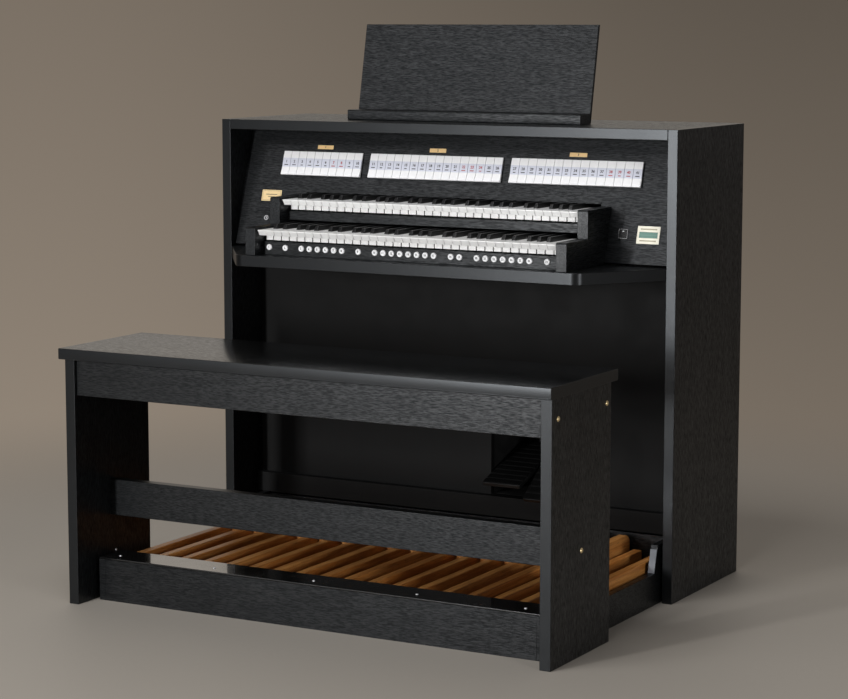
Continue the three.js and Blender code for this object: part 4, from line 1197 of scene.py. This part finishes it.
def pedal_tree():
    kinds = dict.fromkeys(("Width", "Height", "Length", "Edge", "Nose", "Tail"), "Float")
    tree, graph, ends = new_tree("pedal", {**kinds, "Finish": "Material"})
    sides = {"Width": ends["Width"], "Height": ends["Height"]}
    section = graph.node("GeometryNodeCurvePrimitiveQuadrilateral", None, sides)
    fillet = {"Curve": section, "Radius": ends["Edge"], "Count": 3}
    section = graph.node("GeometryNodeFilletCurve", {"mode": "POLY"}, fillet)
    path = graph.node("GeometryNodeCurvePrimitiveLine", None, {"End": graph.vector_of(0.0, ends["Length"])})
    path = graph.node("GeometryNodeResampleCurve", None, {"Curve": path, "Count": PATH_POINTS})
    share = graph.node("GeometryNodeSplineParameter")
    eased_share = share - (share * (2 * math.pi)).sine() * CROWDING
    place = graph.vector_of(0.0, eased_share * ends["Length"])
    path = graph.node("GeometryNodeSetPosition", None, {"Geometry": path, "Position": place})
    path = graph.node("GeometryNodeSetCurveNormal", {"mode": "Z_UP"}, {"Curve": path})
    sweep = {"Curve": path, "Profile Curve": section, "Fill Caps": True}
    swept = graph.node("GeometryNodeCurveToMesh", None, sweep)
    x, y, z = graph.parts(graph.node("GeometryNodeInputPosition"))

    def drop(distance, radius):
        left = ((radius - distance) / radius).at_least(0.0)
        return radius * (1 - (1 - left * left) ** 0.5)

    lowered = drop(y, ends["Nose"]) + drop(ends["Length"] - y, ends["Tail"])
    high = (z + ends["Height"] / 2) * (1 - lowered / ends["Height"])
    swept = graph.node("GeometryNodeSetPosition", None, {"Geometry": swept, "Position": graph.vector_of(x, y, high)})
    finish_tree(graph, swept, ends["Finish"])
    return tree


PEDAL = pedal_tree()

# %% Pedals
PEDAL_EDGE, SLAT_HIGH, SLAT_END, TALLEST_SLAT = 3.2, 16.0, 1.5, 50
BLOCK_LONG, BLOCK_NOSE, BLOCK_TAIL = 251.0, 24.0, 18.0


def pedal_part(wide, high, long, nose, tail, place):
    inputs = {"Width": wide, "Height": high, "Length": long, "Edge": PEDAL_EDGE, "Nose": nose, "Tail": tail}
    mesh = grown(PEDAL, Finish=oak, **inputs)
    mesh.transform(Matrix.Translation(place))
    return mesh


for number in range(1, 31):
    name = f"pedal_{number:02d}"
    (x0, x1), (y0, y1), (z0, z1) = reach(name)
    x = (x0 + x1) / 2
    is_sharp = z1 - z0 > TALLEST_SLAT
    slat = SLAT_HIGH if is_sharp else z1 - z0
    parts = [pedal_part(x1 - x0, slat, y1 - y0, SLAT_END, SLAT_END, (x, y0, z0))]
    if is_sharp:
        block = (x1 - x0, z1 - z0 - slat / 2, BLOCK_LONG, BLOCK_NOSE, BLOCK_TAIL)
        parts.append(pedal_part(*block, (x, y1 - BLOCK_LONG, z0 + slat / 2)))
    repeated(f"{name}_oak", parts, oak, name, "oak", [name])
print("pedal width", round(x1 - x0, 1), "length", round(y1 - y0, 1))

# %% [markdown]
# ## Swell shoes
# A shoe is a moulded plate on two lugs that turn on the axle. Its rubber tread is a row of ribs. The shoe is drawn
# lying flat with the axle at the origin, and a matrix then leans it, so the two differ only in place and angle.

# %% Swell shoes
SHOE_WIDE, SHOE_LONG, SHOE_UNDER, SHOE_PLATE, LUG_R, LUG_WIDE = 107, 240, 24, 9.6, 12.9, 10
LUG_FROM_SIDE, LUG_FOOT, LUG_ROOT, LUG_ROUND, PLATE_CORNER = 6, 13, 30, 12.5, 6
AXLE_Y, AXLE_Z, TREADS = 208.4, 244.6, 10
SHOES = (("swell_shoe_left", 84, 18), ("swell_shoe_right", 196, 34))
for name, x, lean in SHOES:
    moved = HERE @ Matrix.Translation((x, AXLE_Y, AXLE_Z)) @ Matrix.Rotation(math.radians(lean), 4, "X")
    top = SHOE_UNDER + SHOE_PLATE
    shoe = Shape().board((0, -SHOE_LONG / 2, SHOE_UNDER), (SHOE_WIDE, SHOE_LONG / 2, top), PLATE_CORNER, "Z")
    for start in (LUG_FROM_SIDE, SHOE_WIDE - LUG_FROM_SIDE - LUG_WIDE):
        lug = [(-LUG_ROOT, SHOE_UNDER + 1), (-LUG_FOOT, -LUG_R, LUG_ROUND)]
        lug += [(LUG_FOOT, -LUG_R, LUG_ROUND), (LUG_ROOT, SHOE_UNDER + 1)]
        shoe.prism(rounded(lug), (start, start + LUG_WIDE))
    piece(f"{name}_plate", shoe, dark_plastic, name, "black_rubber", 0.001, [name], moved)
    step = SHOE_LONG / TREADS
    rib = Shape().board((2, 2, top - 0.2), (SHOE_WIDE - 2, step - 3, top + 2.4), 1.2, "X")
    ribs = set_out(rib, rubber, [(TREADS, (0, -SHOE_LONG / 2, 0), (0, step, 0))], edge=0.5)
    repeated(f"{name}_tread", ribs, rubber, name, "black_rubber", (), moved)
print("shoes with", TREADS, "treads")

# %% [markdown]
# ## Mains inlet
# The back board has a recess for the mains inlet. Its insert is a plastic frame with three pins, made of the same
# four bars as the display's bezel.

# %% Mains inlet
INLET_X, INLET_Z = back_x1 - 134, back_z0 + 103.5
INLET_WINDOW, INLET_FRAME, PIN_HALF, PIN_HALF_HIGH = (25, 18), (46, 25.5), 1, 3
inlet = Shape()
frame_bars(inlet, INLET_X, INLET_Z, INLET_WINDOW, INLET_FRAME, back_y - 7.5, back_y - 0.2)
piece("inlet_frame", inlet, dark_plastic, "console", "black_carcass", 0.0006, (), HERE)
pins = Shape()
for dx, dz in ((-7, -2), (7, -2), (0, 3)):
    x, z = INLET_X + dx, INLET_Z + dz
    pins.board((x - PIN_HALF, back_y - 8, z - PIN_HALF_HIGH), (x + PIN_HALF, back_y - 1.5, z + PIN_HALF_HIGH))
piece("inlet_pins", pins, steel, "console", "lock_steel", 0.0003, (), HERE)

# %% [markdown]
# ## Floor, light and camera
# The floor is a wide pale disc that fades into the world, so that no horizon shows. Far off, floor and world show the
# camera a background with painted light on it, paler downwards and darker to the right, and behind the object the
# floor glows in glossy rays, a painted light that the satin faces reflect. The object is dark, so what shows its
# form is what its satin faces reflect: a tall narrow soft box in front to the left draws the edges of the boards, a
# second one to the right gives the table's corner its other streak, a broad one high on the left gives the leaning
# stop panel its sheen, and one above draws the tops.

# %% Floor and world
TINT = (1.0, 0.83, 0.66, 1)
PALE_FLOOR = (0.33, 0.30, 0.262, 1)
EYE = (2.98021, -5.29488, 1.43260)
# PALER and DARKER set the painted light on the background; TONE is its level.
PALER, DARKER, TONE = 0.43, 0.09, 0.2


def backdrop(graph, across, down):
    """The painted light on the background behind the object: paler downwards, darker to the right."""
    level = down * PALER - across.ramp(-0.81, -0.35) * DARKER + TONE
    return graph.mix(level, (0, 0, 0, 1), TINT)


def floor_finish():
    finish = Finish("pale floor")
    x, y, _ = finish.parts(finish.place)
    ahead = (y - EYE[1]).at_least(3.0)
    across = (x - EYE[0]) / ahead
    down = EYE[2] / ((across * across + 1) ** 0.5 * ahead)
    far = ((x * x + y * y) ** 0.5).ramp(1.2, 3.2)
    path = finish.node("ShaderNodeLightPath")
    # Behind the object the floor also glows in glossy rays: painted light, where no lamp is, that the satin faces
    # reflect.
    behind = finish.other(path, "Is Glossy Ray") * y.ramp(0.2, 1.0) * x.ramp(1.4, 0.0, 0.2, 0.8)
    seen = finish.other(path, "Is Camera Ray").at_least(behind)
    # Far off, the floor glows with the background's painted light.
    glow = finish.node("ShaderNodeEmission", None, {"Color": backdrop(finish, across, down), "Strength": 1.0})
    grain = finish.noise(finish.place, 60.0, detail=3.0)
    tone = finish.mix(grain, dimmed(PALE_FLOOR, 0.97), PALE_FLOOR)
    finish.paint(Base_Color=tone, Roughness=0.6)
    lit = Wire(finish, finish.surface.outputs[0])
    mixed = finish.node("ShaderNodeMixShader", None, {0: far * seen, 1: lit, 2: glow})
    finish.tree.links.new(mixed.socket, finish.tree.nodes["Material Output"].inputs["Surface"])
    return finish.material


floor = Shape().turned([(0, 0), (30, 0), (30, -0.02), (0, -0.02)], (0, 0, 0), "Z", 96)
floor_piece = as_object("studio_floor", floor.solid("studio_floor"), floor_finish())
world = bpy.data.worlds.new("studio")
bpy.context.scene.world = world
world.use_nodes = True
sky = Graph(world.node_tree)
path = sky.node("ShaderNodeLightPath")
across, ahead, up = sky.parts(sky.node("ShaderNodeTexCoord", out="Generated"))
behind = ahead.ramp(-0.15, 0.35) * across.ramp(0.3, -0.1, 0.25, 1.0) * up.ramp(0.08, 0.26, 0.62, 1.0)
room = sky.mix(behind, (0.05, 0.05, 0.06, 1), (0.55, 0.50, 0.44, 1))
# Camera rays see the background with its painted light.
tone = backdrop(sky, across / ahead.at_least(0.3), up * -1.0)
light = sky.mix(sky.other(path, "Is Camera Ray"), room, tone)
world.node_tree.links.new(light.socket, world.node_tree.nodes["Background"].inputs["Color"])
print("floor and world")


# %% Lamps
def soft_box(name, place, target, size, watts):
    lamp = bpy.data.lights.new(name, "AREA")
    lamp.shape, lamp.size, lamp.size_y = "RECTANGLE", *size
    lamp.energy = watts
    print("lamp", name, watts, "W")
    thing = bpy.data.objects.new(name, lamp)
    thing.location = place
    thing.rotation_euler = (Vector(target) - Vector(place)).to_track_quat("-Z", "Y").to_euler()
    thing.visible_camera = False
    bpy.context.scene.collection.objects.link(thing)


soft_box("front_left_strip", (-1.29, -5.3, 1.15), (0, 0, 0.8), (0.3, 1.4), 176)
soft_box("right_strip", (4.25, -2.46, 1.0), (0.46, -0.04, 0.8), (0.7, 1.4), 58)
soft_box("high_left_box", (-3.05, -5.3, 4.0), (0, 0, 1.0), (3.2, 2.2), 43)
soft_box("top_box", (0.1, -1.9, 4.2), (0.1, 0, 0.9), (2.0, 1.4), 74)

# %% Camera
CAMERA_DOWN, CAMERA_TURN, LENS = 7.727, 0.5082380, 104.29
camera = bpy.data.cameras.new("camera")
camera.lens, camera.sensor_width = LENS, 36
eye = bpy.data.objects.new("camera", camera)
eye.location = EYE
eye.rotation_euler = (math.radians(90 - CAMERA_DOWN), 0, CAMERA_TURN)
bpy.context.scene.collection.objects.link(eye)
bpy.context.scene.camera = eye
bpy.context.scene.view_settings.view_transform = "Standard"
print("camera", EYE, "lens", LENS)
